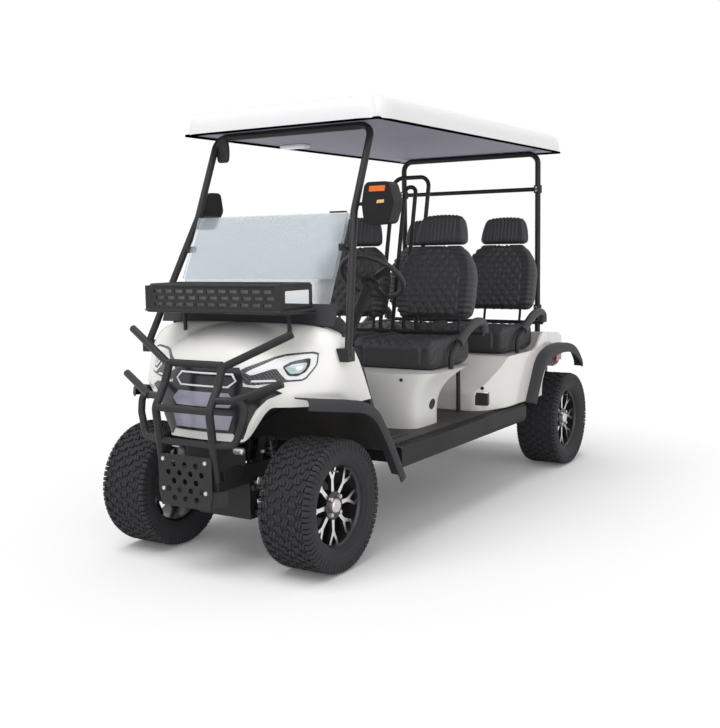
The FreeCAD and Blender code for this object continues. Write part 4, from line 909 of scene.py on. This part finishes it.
def add_roof():
    """Roof shell with a full rounded shoulder and a turned-down rim."""
    low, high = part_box("roof")
    centre, half = (low + high) / 2, (high - low) / 2 + Vector((0.012, 0.014, 0))
    corner = 0.12
    rim_drop = 0.018
    shoulder_reach = 0.085
    crown = 0.018
    mesh = bmesh.new()
    bmesh.ops.create_grid(mesh, x_segments=64, y_segments=96, size=1.0)
    shoulder = high.z - low.z - rim_drop - crown - 0.001

    def shoulder_at(inset):
        share = 1 - min(1.0, inset / shoulder_reach)
        return (1 - share ** 2.2) ** (1 / 2.2)

    for vert in mesh.verts:
        across, along = (math.copysign(1 - (1 - abs(value)) ** 1.5, value)
                         for value in vert.co[:2])
        x, y = across * half.x, along * half.y
        core_x = max(corner - half.x, min(half.x - corner, x))
        core_y = max(corner - half.y, min(half.y - corner, y))
        away = Vector((x - core_x, y - core_y))
        if away.x and away.y:
            away = away.normalized() * max(abs(away.x), abs(away.y))
        flow = (1 - abs(across) ** 2.3) * (1 - abs(along) ** 3.2)
        rise = shoulder_at((1 - abs(across)) * half.x) * shoulder_at((1 - abs(along)) * half.y)
        vert.co = (centre.x + core_x + away.x, centre.y + core_y + away.y,
                   low.z + rim_drop + shoulder * rise + crown * flow)
    edge = [item for item in mesh.edges if item.is_boundary]
    for drop in (0.006, rim_drop - 0.006):
        made = bmesh.ops.extrude_edge_only(mesh, edges=edge)["geom"]
        edge = [item for item in only(bmesh.types.BMEdge, made) if item.is_boundary]
        bmesh.ops.translate(mesh, verts=only(bmesh.types.BMVert, made), vec=(0, 0, -drop))
    face_up(mesh)
    bmesh.ops.solidify(mesh, geom=mesh.faces[:], thickness=sizes().wall)
    add_piece("roof_shell", mesh, "roof_white", stands_for=("roof",), sharp=50)


def add_ceiling_frame():
    """Black edging round the underside of the roof."""
    low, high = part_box("ceiling")
    gap, width, depth = 0.002, 0.046, 0.012
    mesh = bmesh.new()
    face = mesh.faces.new([mesh.verts.new((x, y, low.z - depth)) for x, y in (
        (low.x + gap, low.y + gap), (high.x - gap, low.y + gap),
        (high.x - gap, high.y - gap), (low.x + gap, high.y - gap))])
    bmesh.ops.inset_individual(mesh, faces=[face], thickness=width, use_even_offset=True)
    bmesh.ops.delete(mesh, geom=[face], context="FACES")
    made = bmesh.ops.extrude_face_region(mesh, geom=mesh.faces[:])["geom"]
    bmesh.ops.translate(mesh, vec=(0, 0, depth), verts=only(bmesh.types.BMVert, made))
    bmesh.ops.recalc_face_normals(mesh, faces=mesh.faces)
    add_piece("ceiling_frame", mesh, "black_plastic")


def add_cabin_mirror():
    """Mirror that hangs from the front of the roof."""
    size = (0.075, 0.030, 0.130)
    mesh = even_block(size, (10, 5, 16))
    round_off(mesh, size, 0.014)
    for vert in mesh.verts:
        share = vert.co.z / size[2] + 0.5
        vert.co.x *= 0.55 + 0.45 * math.sin(math.pi * min(1.0, 0.18 + share * 0.75))
    bmesh.ops.translate(mesh, verts=mesh.verts,
                        vec=(-0.42, -0.800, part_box("ceiling")[0].z - 0.075))
    add_piece("cabin_mirror", mesh, "black_plastic")


# Front

# The hood's half width, its nose's reach ahead of a line behind the axle, and its heights
hood_half = 0.558
hood_reach = 0.335
hood_line = 0.095
hood_belly = 0.640
hood_crown = 1.068
chin = 0.578
wing_edge = 0.725
arch_start = 0.205
rear_rake = 0.50


def smooth_path(points, rounds=3):
    """Cuts the corners of a line of points again and again, its ends kept."""
    path = [Vector(point) for point in points]
    for _ in range(rounds):
        cut = [path[0]]
        for here, after in zip(path, path[1:]):
            cut.append(here.lerp(after, 0.25))
            cut.append(here.lerp(after, 0.75))
        path = cut + [path[-1]]
    return path


def hood_point(turn, height):
    """Point of the hood's skin at an angle round the nose and a height."""
    side, ahead = math.cos(turn), math.sin(turn)
    rise = min(1.0, max(0.0, (height - hood_belly) / (hood_crown - hood_belly)))
    power = 2.2 + 4.3 * side ** 24
    reach = (1 - rise ** power) ** (1 / power)
    return Vector((hood_half * side * reach, axle + hood_line - hood_reach * ahead * reach,
                   height))


def hood_height(turn, share):
    """Height on a column of the hood, from its lower edge at 0 to the crown at 1."""
    across = abs(hood_half * math.cos(turn))
    low = chin + (wing_edge - chin) * ease((across - arch_start) / 0.15)
    return low + (hood_crown - low) * math.sin(share * math.pi / 2)


def tuck_under(place, turn):
    """Turns the band above the arch inwards, so that it reads as the arch's own lip."""
    low = hood_height(turn, 0)
    share = max(0.0, 1 - (place.z - low) / 0.062)
    amount = share ** 1.3 * ease((abs(place.x) - 0.19) / 0.06) * ease(math.sin(turn) / 0.4)
    place.x *= 1 - 0.085 * amount
    place.y += 0.030 * amount * math.sin(turn)
    return place


def hood_mesh():
    """Rounded nose, and the straight hood behind it that ends in a raked rear edge."""
    mesh = bmesh.new()
    rows = 44
    made = bmesh.ops.create_grid(mesh, x_segments=110, y_segments=rows, size=1.0)
    for vert in made["verts"]:
        turn = (vert.co.x + 1) / 2 * math.pi
        vert.co = tuck_under(hood_point(turn, hood_height(turn, (vert.co.y + 1) / 2)), turn)
    made = bmesh.ops.create_grid(mesh, x_segments=2 * rows, y_segments=8, size=1.0)
    for vert in made["verts"]:
        turn = 0.0 if vert.co.x < 0 else math.pi
        height = hood_height(turn, 1 - abs(vert.co.x))
        place = tuck_under(hood_point(turn, height), turn)
        place.y += (hood_crown - height) * rear_rake * (vert.co.y + 1) / 2
        vert.co = place
    bmesh.ops.remove_doubles(mesh, verts=mesh.verts, dist=2e-4)
    face_up(mesh)
    return mesh


def hood_tree():
    """Search tree of the hood's skin, for what is laid on it."""
    skin = hood_mesh()
    tree = BVHTree.FromBMesh(skin)
    skin.free()
    return tree


def add_hood():
    """White hood and wings as one thin shell."""
    mesh = hood_mesh()
    bmesh.ops.solidify(mesh, geom=mesh.faces[:], thickness=0.005)
    add_piece("hood_shell", mesh, "body_white", stands_for=("front_cowl",), sharp=50)


def add_headlights():
    """Lamp units on both sides of the nose: white surround, dark eye, lens and mesh, with a painted highlight on
    each lens.
    """
    tree = hood_tree()
    aim = math.radians(35)

    def soften(outline):
        cut = []
        for here, after in zip(outline, outline[1:] + outline[:1]):
            start, end = Vector(here), Vector(after)
            cut += [start.lerp(end, 0.14), start.lerp(end, 0.86)]
        return cut

    def lamp(name, outline, lift, thickness, material, slot, stands_for=()):
        mesh = plate(soften(outline), tree, lift, thickness, turn=aim, both=True, step=0.015)
        add_piece(name, mesh, material, stands_for=stands_for, sharp=50)

    lamp("lamp_cases", [(0.040, 0.886), (0.214, 0.946), (0.381, 0.960), (0.372, 0.903),
                        (0.318, 0.840), (0.229, 0.835), (0.075, 0.820), (0.022, 0.849)],
         0.0020, 0.004, "lamp_mesh", "black_gloss", stands_for=("headlights",))
    lamp("lamp_surrounds", [(0.060, 0.874), (0.214, 0.937), (0.374, 0.952), (0.366, 0.903),
                            (0.315, 0.847), (0.240, 0.843), (0.216, 0.866), (0.194, 0.893),
                            (0.085, 0.861)],
         0.0040, 0.003, "white_trim", "lamp_clear")
    lamp("lamp_eyes", [(0.222, 0.899), (0.262, 0.918), (0.345, 0.933), (0.339, 0.900),
                       (0.320, 0.875), (0.285, 0.859), (0.246, 0.861)],
         0.0065, 0.003, "black_gloss", "black_gloss")
    lamp("lamp_lenses", [(0.232, 0.893), (0.268, 0.907), (0.330, 0.915), (0.322, 0.891),
                         (0.300, 0.872), (0.256, 0.868)],
         0.0095, 0.004, "lamp_lens", "lamp_clear")
    # Painted highlight: a small bright metal plate laid over each lens stands in for the glint of light on it.
    lamp("lamp_glints", [(0.275, 0.896), (0.314, 0.904), (0.306, 0.886), (0.284, 0.880)],
         0.0125, 0.003, "bright_metal", "shock_steel")
    lamp("lamp_blades", [(0.085, 0.834), (0.200, 0.838), (0.188, 0.846), (0.090, 0.843)],
         0.0050, 0.003, "white_trim", "lamp_clear")


def add_grille():
    """Black grille and cheeks on the nose, two inset panels and the ring of the bare name bar."""
    tree = hood_tree()
    half = [(0.165, 0.893), (0.190, 0.855), (0.200, 0.816), (0.245, 0.812), (0.330, 0.808),
            (0.368, 0.790), (0.312, 0.764), (0.268, 0.718), (0.240, 0.665), (0.206, 0.590),
            (0.184, 0.588), (0.164, 0.614)]
    outline = half + [(-x, z) for x, z in reversed(half)]
    add_piece("grille_face", plate(outline, tree, 0.003, 0.004), "black_gloss",
              stands_for=("front_grille",))
    upper = [(-0.148, 0.724), (0.148, 0.724), (0.174, 0.752), (0.140, 0.786), (-0.140, 0.786),
             (-0.174, 0.752)]
    add_piece("grille_panel_upper", plate(upper, tree, 0.008, 0.004), "grille_panel")
    lower = [(-0.146, 0.628), (0.146, 0.628), (0.168, 0.690), (-0.168, 0.690)]
    add_piece("grille_panel_lower", plate(lower, tree, 0.008, 0.004), "grille_panel")
    bar = [(-0.135, 0.808), (0.135, 0.808), (0.170, 0.838), (0.145, 0.869), (-0.145, 0.869),
           (-0.170, 0.838)]
    add_piece("name_bar_ring", plate(bar, tree, 0.008, 0.004, ring=0.007), "white_trim")


def add_frame_fittings():
    """Small bright fittings on the frame behind the guard."""
    mesh = bmesh.new()
    for place, size in (((0.176, -1.480, 0.535), (0.056, 0.030, 0.030)),
                        ((0.186, -1.325, 0.508), (0.020, 0.020, 0.016)),
                        ((0.158, -1.335, 0.372), (0.040, 0.034, 0.050))):
        block = even_block(size, (8, 6, 5))
        round_off(block, size, min(size) * 0.42)
        bmesh.ops.translate(block, verts=block.verts, vec=place)
        merge_in(mesh, block)
    add_mirror(mesh)
    add_piece("frame_fittings", mesh, "bright_metal")


# Body shells


def join_rings(mesh, rings):
    """Closed body through rings of equally many points, its two ends filled."""
    rows = [[mesh.verts.new(point) for point in ring] for ring in rings]
    for here, after in zip(rows, rows[1:]):
        for index in range(len(here)):
            mesh.faces.new((here[index - 1], here[index], after[index], after[index - 1]))
    for row in (rows[0], rows[-1]):
        mesh.faces.new(row)
    bmesh.ops.triangulate(mesh, faces=[face for face in mesh.faces if len(face.verts) > 4])
    bmesh.ops.recalc_face_normals(mesh, faces=mesh.faces)


def flare_mesh(path, inner_at, outer_at, lip_at, wall=0.006):
    """Angle-shaped flare along a (y, z) path: a top ledge and an outer band that hangs from it."""
    path = [Vector(point) for point in smooth_path(path, 4)]
    last = len(path) - 1
    rings = []
    for index, here in enumerate(path):
        along = (path[min(index + 1, last)] - path[max(index - 1, 0)]).normalized()
        inward = Vector((along.y, -along.x))
        inner, outer, lip = inner_at(here), outer_at(here), lip_at(here)
        section = [(inner, 0), (outer - 0.022, 0), (outer - 0.008, 0.003), (outer - 0.002, 0.010),
                   (outer, 0.020), (outer, lip * 0.8), (outer - 0.004, lip),
                   (outer - 0.004 - wall, lip), (outer - wall, lip * 0.8),
                   (outer - wall, 0.022), (outer - 0.010 - wall, wall + 0.003), (inner, wall)]
        places = [(across, here + inward * drop) for across, drop in section]
        rings.append([(across, place.x, place.y) for across, place in places])
    mesh = bmesh.new()
    join_rings(mesh, rings)
    add_mirror(mesh)
    return mesh


def add_flares():
    """Black flares: the front ones follow the nose and end in mud flaps."""
    def hood_side(place):
        ahead = max(0.0, min(0.99, (axle + hood_line - place.x) / hood_reach))
        return hood_half * math.sqrt(1 - ahead ** 2) - 0.002

    front = [(-0.125, 0.774), (0.178, 0.734), (0.318, 0.560), (0.446, 0.350)]
    mesh = flare_mesh([(axle + y, z) for y, z in front], hood_side,
                      lambda place: min(0.639, hood_side(place) + 0.082), lambda place: 0.052)
    add_piece("front_flares", mesh, "black_plastic", stands_for=("flares",))
    rear = [(-0.590, 0.474), (-0.520, 0.590), (-0.420, 0.752), (-0.150, 0.792), (0.090, 0.768),
            (0.232, 0.650), (0.236, 0.606)]
    mesh = flare_mesh([(rear_axle + y, z) for y, z in rear], lambda place: 0.578,
                      lambda place: 0.644,
                      lambda place: 0.030 + 0.028 * ease((place.y - 0.62) / 0.14))
    add_piece("rear_flares", mesh, "black_plastic", stands_for=("flares",))


def add_dashboard():
    """Black cowl top and dashboard that draws in towards its ends."""
    section = smooth_path([(0.100, 0.960), (0.100, 1.060), (0.330, 1.104), (0.390, 1.040),
                           (0.350, 0.885), (0.250, 0.870)])
    count, half = 40, 0.516
    front, middle = 0.100, 1.040
    rings = []
    for index in range(count + 1):
        across = 2 * index / count - 1
        ends = ease((abs(across) - 0.66) / 0.34)
        ring = []
        for point in section:
            back = front + (point.x - front) * (1 - 0.72 * ends)
            height = middle + (point.y - middle) * (1 - 0.60 * ends)
            ring.append((across * half, axle + back, height - 0.03 * across ** 4))
        rings.append(ring)
    mesh = bmesh.new()
    join_rings(mesh, rings)
    add_piece("dash_moulding", mesh, "black_plastic",
              stands_for=("dashboard",), sharp=45)


def pod_mesh():
    """Skin of the pod: rings from its foot up, a lid on top and no floor."""
    low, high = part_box("front_seat_base")
    levels, around, foot_half = 26, 120, 0.458
    mesh = bmesh.new()
    rings = []
    for level in range(levels + 1):
        share = level / levels
        half = foot_half + (high.x - foot_half) * share ** 3
        front = low.y + 0.075 * (1 - share) ** 1.2
        rear = high.y - 0.185 * (1 - share ** 5)
        ring = []
        for index in range(around):
            turn = 2 * math.pi * index / around
            side, ahead = math.cos(turn), math.sin(turn)
            x = half * math.copysign(abs(side) ** 0.42, side)
            taper = 1 - 0.14 * max(0.0, -ahead) ** 3 - 0.10 * max(0.0, ahead) ** 3
            y = (front + rear) / 2 + (rear - front) / 2 * math.copysign(abs(ahead) ** 0.36, ahead)
            ring.append(mesh.verts.new((x * taper, y, low.z + (high.z - low.z) * share)))
        rings.append([mesh.edges.new((ring[index - 1], ring[index])) for index in range(around)])
    for lower, upper in zip(rings, rings[1:]):
        bmesh.ops.bridge_loops(mesh, edges=lower + upper)
    lid = bmesh.ops.extrude_edge_only(mesh, edges=rings[-1])["geom"]
    centre = Vector((0, (low.y + high.y) / 2, high.z))
    for vert in only(bmesh.types.BMVert, lid):
        vert.co = centre + (vert.co - centre) * 0.93
    edge = [item for item in only(bmesh.types.BMEdge, lid) if item.is_boundary]
    bmesh.ops.holes_fill(mesh, edges=edge, sides=0)
    bmesh.ops.triangulate(mesh, faces=[face for face in mesh.faces if len(face.verts) > 4])
    face_up(mesh)
    return mesh


def add_pod():
    """White pod under the front seats with rounded corners, and the ports in its sides."""
    mesh = pod_mesh()
    tree = BVHTree.FromBMesh(mesh)
    bmesh.ops.solidify(mesh, geom=mesh.faces[:], thickness=0.005)
    add_piece("seat_pod", mesh, "body_white", stands_for=("front_seat_base",),
              sharp=50)
    ports = bmesh.new()
    for side in (-1, 1):
        for place, radius in (((0.464, -0.258, 0.590), 0.028), ((0.424, -0.501, 0.741), 0.008)):
            near, normal = tree.find_nearest(Vector((place[0] * side, place[1], place[2])))[:2]
            part = bmesh.new()
            spun(part, [(0.004, radius), (0.004, radius * 0.82), (0.0015, radius * 0.78),
                        (0.0015, 0.0005), (-0.004, 0.0005), (-0.004, radius)], 32)
            turn = Vector((1, 0, 0)).rotation_difference(normal).to_matrix().to_4x4()
            bmesh.ops.transform(part, matrix=Matrix.Translation(near) @ turn, verts=part.verts)
            merge_in(ports, part)
    add_piece("pod_ports", ports, "black_plastic")


def add_dark_panels():
    """Liner behind the basket's slots, band below the windscreen and panel behind the skid."""
    low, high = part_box("basket")
    liner = bmesh.new()
    bmesh.ops.create_cube(liner, size=1.0)
    bmesh.ops.scale(liner, vec=(0.73, 0.004, 0.088), verts=liner.verts)
    bmesh.ops.translate(liner, vec=(0, low.y + 0.030, high.z - 0.058), verts=liner.verts)
    add_piece("basket_liner", liner, "liner_grey")
    band = even_block((0.99, 0.008, 0.092), (30, 3, 6))
    for vert in band.verts:
        vert.co.y += vert.co.z * 0.42 - 0.006 * (vert.co.x / 0.5) ** 2
    bmesh.ops.translate(band, verts=band.verts, vec=(0, -1.176, 1.108))
    add_piece("cowl_band", band, "black_plastic")
    panel = even_block((0.34, 0.006, 0.13), (8, 2, 4))
    bmesh.ops.translate(panel, verts=panel.verts, vec=(0, -1.432, 0.475))
    add_piece("front_panel", panel, "black_plastic")


def add_tub_ports():
    """Black inserts in the rear seat box's square openings, with a socket above each."""
    mesh = bmesh.new()
    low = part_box("rear_body")[0]
    ahead = Matrix.Rotation(math.pi / 2, 4, "X")
    for side in (-1, 1):
        insert = bmesh.ops.create_cube(mesh, size=1.0)["verts"]
        bmesh.ops.scale(mesh, vec=(0.071, 0.012, 0.069), verts=insert)
        bmesh.ops.translate(mesh, vec=(side * 0.511, low.y + 0.022, 0.548), verts=insert)
        place = Matrix.Translation((side * 0.522, low.y + 0.002, 0.612))
        bmesh.ops.create_cone(mesh, cap_ends=True, segments=20, radius1=0.010, radius2=0.010,
                              depth=0.006, matrix=place @ ahead)
    add_piece("tub_ports", mesh, "black_plastic")


# Small trim


def add_mirror_trim():
    """Turn lamps and glass of the driver's mirror."""
    tree = node_tree("mirrors")
    strip = [(0.552, 1.640), (0.632, 1.640), (0.636, 1.664), (0.556, 1.664)]
    add_piece("mirror_turn_lamp", plate(strip, tree, 0.003, 0.004), "orange_lens")
    lens = [(0.590, 1.588), (0.628, 1.590), (0.628, 1.604), (0.594, 1.602)]
    add_piece("mirror_side_lamp", plate(lens, tree, 0.003, 0.004), "amber_lens")
    mesh = bmesh.new()
    outline = [(0.532, 1.508), (0.642, 1.514), (0.664, 1.590), (0.642, 1.668), (0.538, 1.668),
               (0.524, 1.590)]
    rear = max(vert.co.y for vert in frame["nodes"]["mirrors"].data.vertices if vert.co.x > 0.53)
    mesh.faces.new([mesh.verts.new((x, rear + 0.001, z)) for x, z in outline])
    bmesh.ops.solidify(mesh, geom=mesh.faces[:], thickness=0.002)
    bmesh.ops.recalc_face_normals(mesh, faces=mesh.faces)
    add_piece("mirror_pane", mesh, "mirror_glass")


def add_bolts():
    """Bolt heads on the skid plate and the rear frame's clamps."""
    mesh = bmesh.new()
    ahead = (0, -1, 0)
    low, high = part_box("skid_plate")
    for x in (-0.118, 0.118):
        for z in (high.z - 0.022, low.z + 0.075):
            hex_head(mesh, (x, low.y, z), ahead, 0.010, 0.007)
    low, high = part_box("rear_frame")
    post = (high.x - low.x) / 2 - 0.025
    for side in (-1, 1):
        for clamp in (1.000, 1.738):
            for shift in (0.010, -0.010):
                hex_head(mesh, (side * post, low.y, clamp + shift), ahead, 0.007, 0.006)
    add_piece("bolt_heads", mesh, "bright_metal")


def add_cabin_trim():
    """Dome lamp and the steering wheel's boss."""
    size = (0.16, 0.08, 0.022)
    dome = even_block(size, (16, 8, 3))
    round_off(dome, size, 0.010)
    bmesh.ops.translate(dome, verts=dome.verts,
                        vec=(-0.44, -0.15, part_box("ceiling")[0].z - 0.009))
    add_piece("dome_lamp", dome, "white_trim")
    centre = Vector(joints["steering_wheel_turn"]["pos_m"])
    axis = Vector(joints["steering_wheel_turn"]["axis"])
    size = (0.085, 0.085, 0.024)
    boss = even_block(size, (14, 14, 3))
    round_off(boss, size, 0.011)
    turn = Vector((0, 0, 1)).rotation_difference(axis).to_matrix().to_4x4()
    bmesh.ops.transform(boss, matrix=Matrix.Translation(centre + axis * 0.002) @ turn,
                        verts=boss.verts)
    add_piece("steering_boss", boss, "black_plastic", body="steering_wheel")


# Stage

camera_place = Vector((2.901, -4.828, 1.395))
camera_azimuth, camera_pitch, camera_roll = (math.radians(v) for v in (32.13, -6.54, -0.97))
camera_lens = 50.05


def add_camera():
    """Camera at the photograph's place and angle."""
    ahead = Vector((-math.sin(camera_azimuth) * math.cos(camera_pitch),
                    math.cos(camera_azimuth) * math.cos(camera_pitch), math.sin(camera_pitch)))
    right = Vector((math.cos(camera_azimuth), math.sin(camera_azimuth), 0))
    above = right.cross(ahead)
    spin = Matrix.Rotation(camera_roll, 3, -ahead)
    right, above = spin @ right, spin @ above
    data = bpy.data.cameras.new("camera")
    data.lens = camera_lens
    data.clip_end = 200
    camera = bpy.data.objects.new("camera", data)
    turn = Matrix((right, above, -ahead)).transposed().to_4x4()
    camera.matrix_world = Matrix.Translation(camera_place) @ turn
    bpy.context.scene.collection.objects.link(camera)
    bpy.context.scene.camera = camera


def add_sun(name, direction, spread_angle, strength):
    """Broad, soft sun."""
    data = bpy.data.lights.new(name, "SUN")
    data.angle = math.radians(spread_angle)
    data.energy = strength
    lamp = bpy.data.objects.new(name, data)
    lamp.rotation_euler = Vector(direction).to_track_quat("-Z", "Y").to_euler()
    bpy.context.scene.collection.objects.link(lamp)


def add_floor():
    """Plain pale floor."""
    mesh = bmesh.new()
    bmesh.ops.create_grid(mesh, x_segments=1, y_segments=1, size=40)
    data = bpy.data.meshes.new("floor")
    mesh.to_mesh(data)
    mesh.free()
    floor = bpy.data.objects.new("floor", data)
    bpy.context.scene.collection.objects.link(floor)
    material, tree, shader = blank_material("floor")
    clouds = object_noise(tree, 0.4, 2)
    tree.links.new(spread(tree, clouds, 0.75, 0.85), shader.inputs["Roughness"])
    shader.inputs["Base Color"].default_value = (0.93, 0.93, 0.93, 1)
    shader.inputs["Specular IOR Level"].default_value = 0.1
    path = tree.nodes.new("ShaderNodeLightPath")
    shader.inputs["Emission Color"].default_value = (1, 1, 1, 1)
    tree.links.new(math_node(tree, "MULTIPLY", path.outputs["Is Camera Ray"], 0.06),
                   shader.inputs["Emission Strength"])
    data.materials.append(material)


def add_world():
    """White surround for camera, gloss and glass, and a softer one for light."""
    world = bpy.data.worlds.new("surround")
    world.use_nodes = True
    tree = world.node_tree
    background = tree.nodes["Background"]
    path = tree.nodes.new("ShaderNodeLightPath")
    seen = math_node(tree, "MAXIMUM", path.outputs["Is Camera Ray"],
                     path.outputs["Is Glossy Ray"])
    seen = math_node(tree, "MAXIMUM", seen, path.outputs["Is Transmission Ray"])
    strength = tree.nodes.new("ShaderNodeMapRange")
    strength.inputs["To Min"].default_value = 0.52
    strength.inputs["To Max"].default_value = 1.0
    tree.links.new(seen, strength.inputs["Value"])
    tree.links.new(strength.outputs["Result"], background.inputs["Strength"])
    background.inputs["Color"].default_value = (1, 1, 1, 1)
    bpy.context.scene.world = world


# Operators

class CART_OT_finishes(bpy.types.Operator):
    """Makes every finish and gives each carried-over node its own"""

    bl_idname = "cart.finishes"
    bl_label = "Finishes"

    def execute(self, context):
        made = make_materials()
        for part in frame["record"]["subparts"]:
            node, slot = part["node"], part["material_slot"]
            name = "rim_alloy_rear" if node.startswith("rim_rear") else slot
            slots = frame["nodes"][node].data.materials
            slots.clear()
            slots.append(made[name])
        return {"FINISHED"}


class CART_OT_seats(bpy.types.Operator):
    """Adds the padded seats and their arm pads"""

    bl_idname = "cart.seats"
    bl_label = "Seats"

    def execute(self, context):
        add_seats()
        add_arm_pads()
        return {"FINISHED"}


class CART_OT_wheels(bpy.types.Operator):
    """Adds tyres with their tread, caps and nuts"""

    bl_idname = "cart.wheels"
    bl_label = "Wheels"

    def execute(self, context):
        add_tyres()
        add_wheel_trim()
        return {"FINISHED"}


class CART_OT_roof(bpy.types.Operator):
    """Adds the roof shell, the edging below it and the cabin mirror"""

    bl_idname = "cart.roof"
    bl_label = "Roof"

    def execute(self, context):
        add_roof()
        add_ceiling_frame()
        add_cabin_mirror()
        return {"FINISHED"}


class CART_OT_body(bpy.types.Operator):
    """Adds the hood, flares, dashboard, seat pod, their ports and the dark panels"""

    bl_idname = "cart.body"
    bl_label = "Body shells"

    def execute(self, context):
        add_hood()
        add_flares()
        add_dashboard()
        add_pod()
        add_tub_ports()
        add_dark_panels()
        return {"FINISHED"}


class CART_OT_front(bpy.types.Operator):
    """Adds the grille, the frame's fittings, the lamps and the mirror's trim"""

    bl_idname = "cart.front"
    bl_label = "Front trim"

    def execute(self, context):
        add_grille()
        add_frame_fittings()
        add_headlights()
        add_mirror_trim()
        return {"FINISHED"}


class CART_OT_trim(bpy.types.Operator):
    """Adds bolts and cabin trim"""

    bl_idname = "cart.trim"
    bl_label = "Bolts and cabin trim"

    def execute(self, context):
        add_bolts()
        add_cabin_trim()
        return {"FINISHED"}


class CART_OT_stage(bpy.types.Operator):
    """Adds the floor, the light and the camera"""

    bl_idname = "cart.stage"
    bl_label = "Stage"

    def execute(self, context):
        add_floor()
        add_world()
        add_sun("key", (0.12, 0.38, -1.0), 45, 1.55)
        add_sun("side", (-0.80, 0.75, -0.40), 60, 0.75)
        add_camera()
        context.scene.view_settings.view_transform = "Standard"
        return {"FINISHED"}


class CART_PT_looks(bpy.types.Panel):
    """Lists the sizes, the colours and the steps that dress the cart"""

    bl_idname = "CART_PT_looks"
    bl_label = "Golf cart"
    bl_space_type = "VIEW_3D"
    bl_region_type = "UI"
    bl_category = "Golf cart"

    def draw(self, context):
        for settings in (context.scene.cart_sizes, context.scene.cart_colours):
            for name in type(settings).__annotations__:
                self.layout.prop(settings, name)
        for step in steps:
            self.layout.operator(step.bl_idname)


steps = (CART_OT_stage, CART_OT_finishes, CART_OT_seats, CART_OT_wheels, CART_OT_roof,
         CART_OT_body, CART_OT_front, CART_OT_trim)
classes = (CartSizes, CartColours) + steps + (CART_PT_looks,)


def register():
    """Adds the classes and the scene's settings."""
    for item in classes:
        bpy.utils.register_class(item)
    bpy.types.Scene.cart_sizes = bpy.props.PointerProperty(type=CartSizes)
    bpy.types.Scene.cart_colours = bpy.props.PointerProperty(type=CartColours)


def unregister():
    """Takes them away again."""
    del bpy.types.Scene.cart_colours
    del bpy.types.Scene.cart_sizes
    for item in reversed(classes):
        bpy.utils.unregister_class(item)


def main():
    """Dresses the cart."""
    register()
    bpy.ops.cart.stage()
    bpy.ops.cart.finishes()
    bpy.ops.cart.seats()
    bpy.ops.cart.wheels()
    bpy.ops.cart.roof()
    bpy.ops.cart.body()
    bpy.ops.cart.front()
    bpy.ops.cart.trim()


if __name__ == "__main__":
    main()
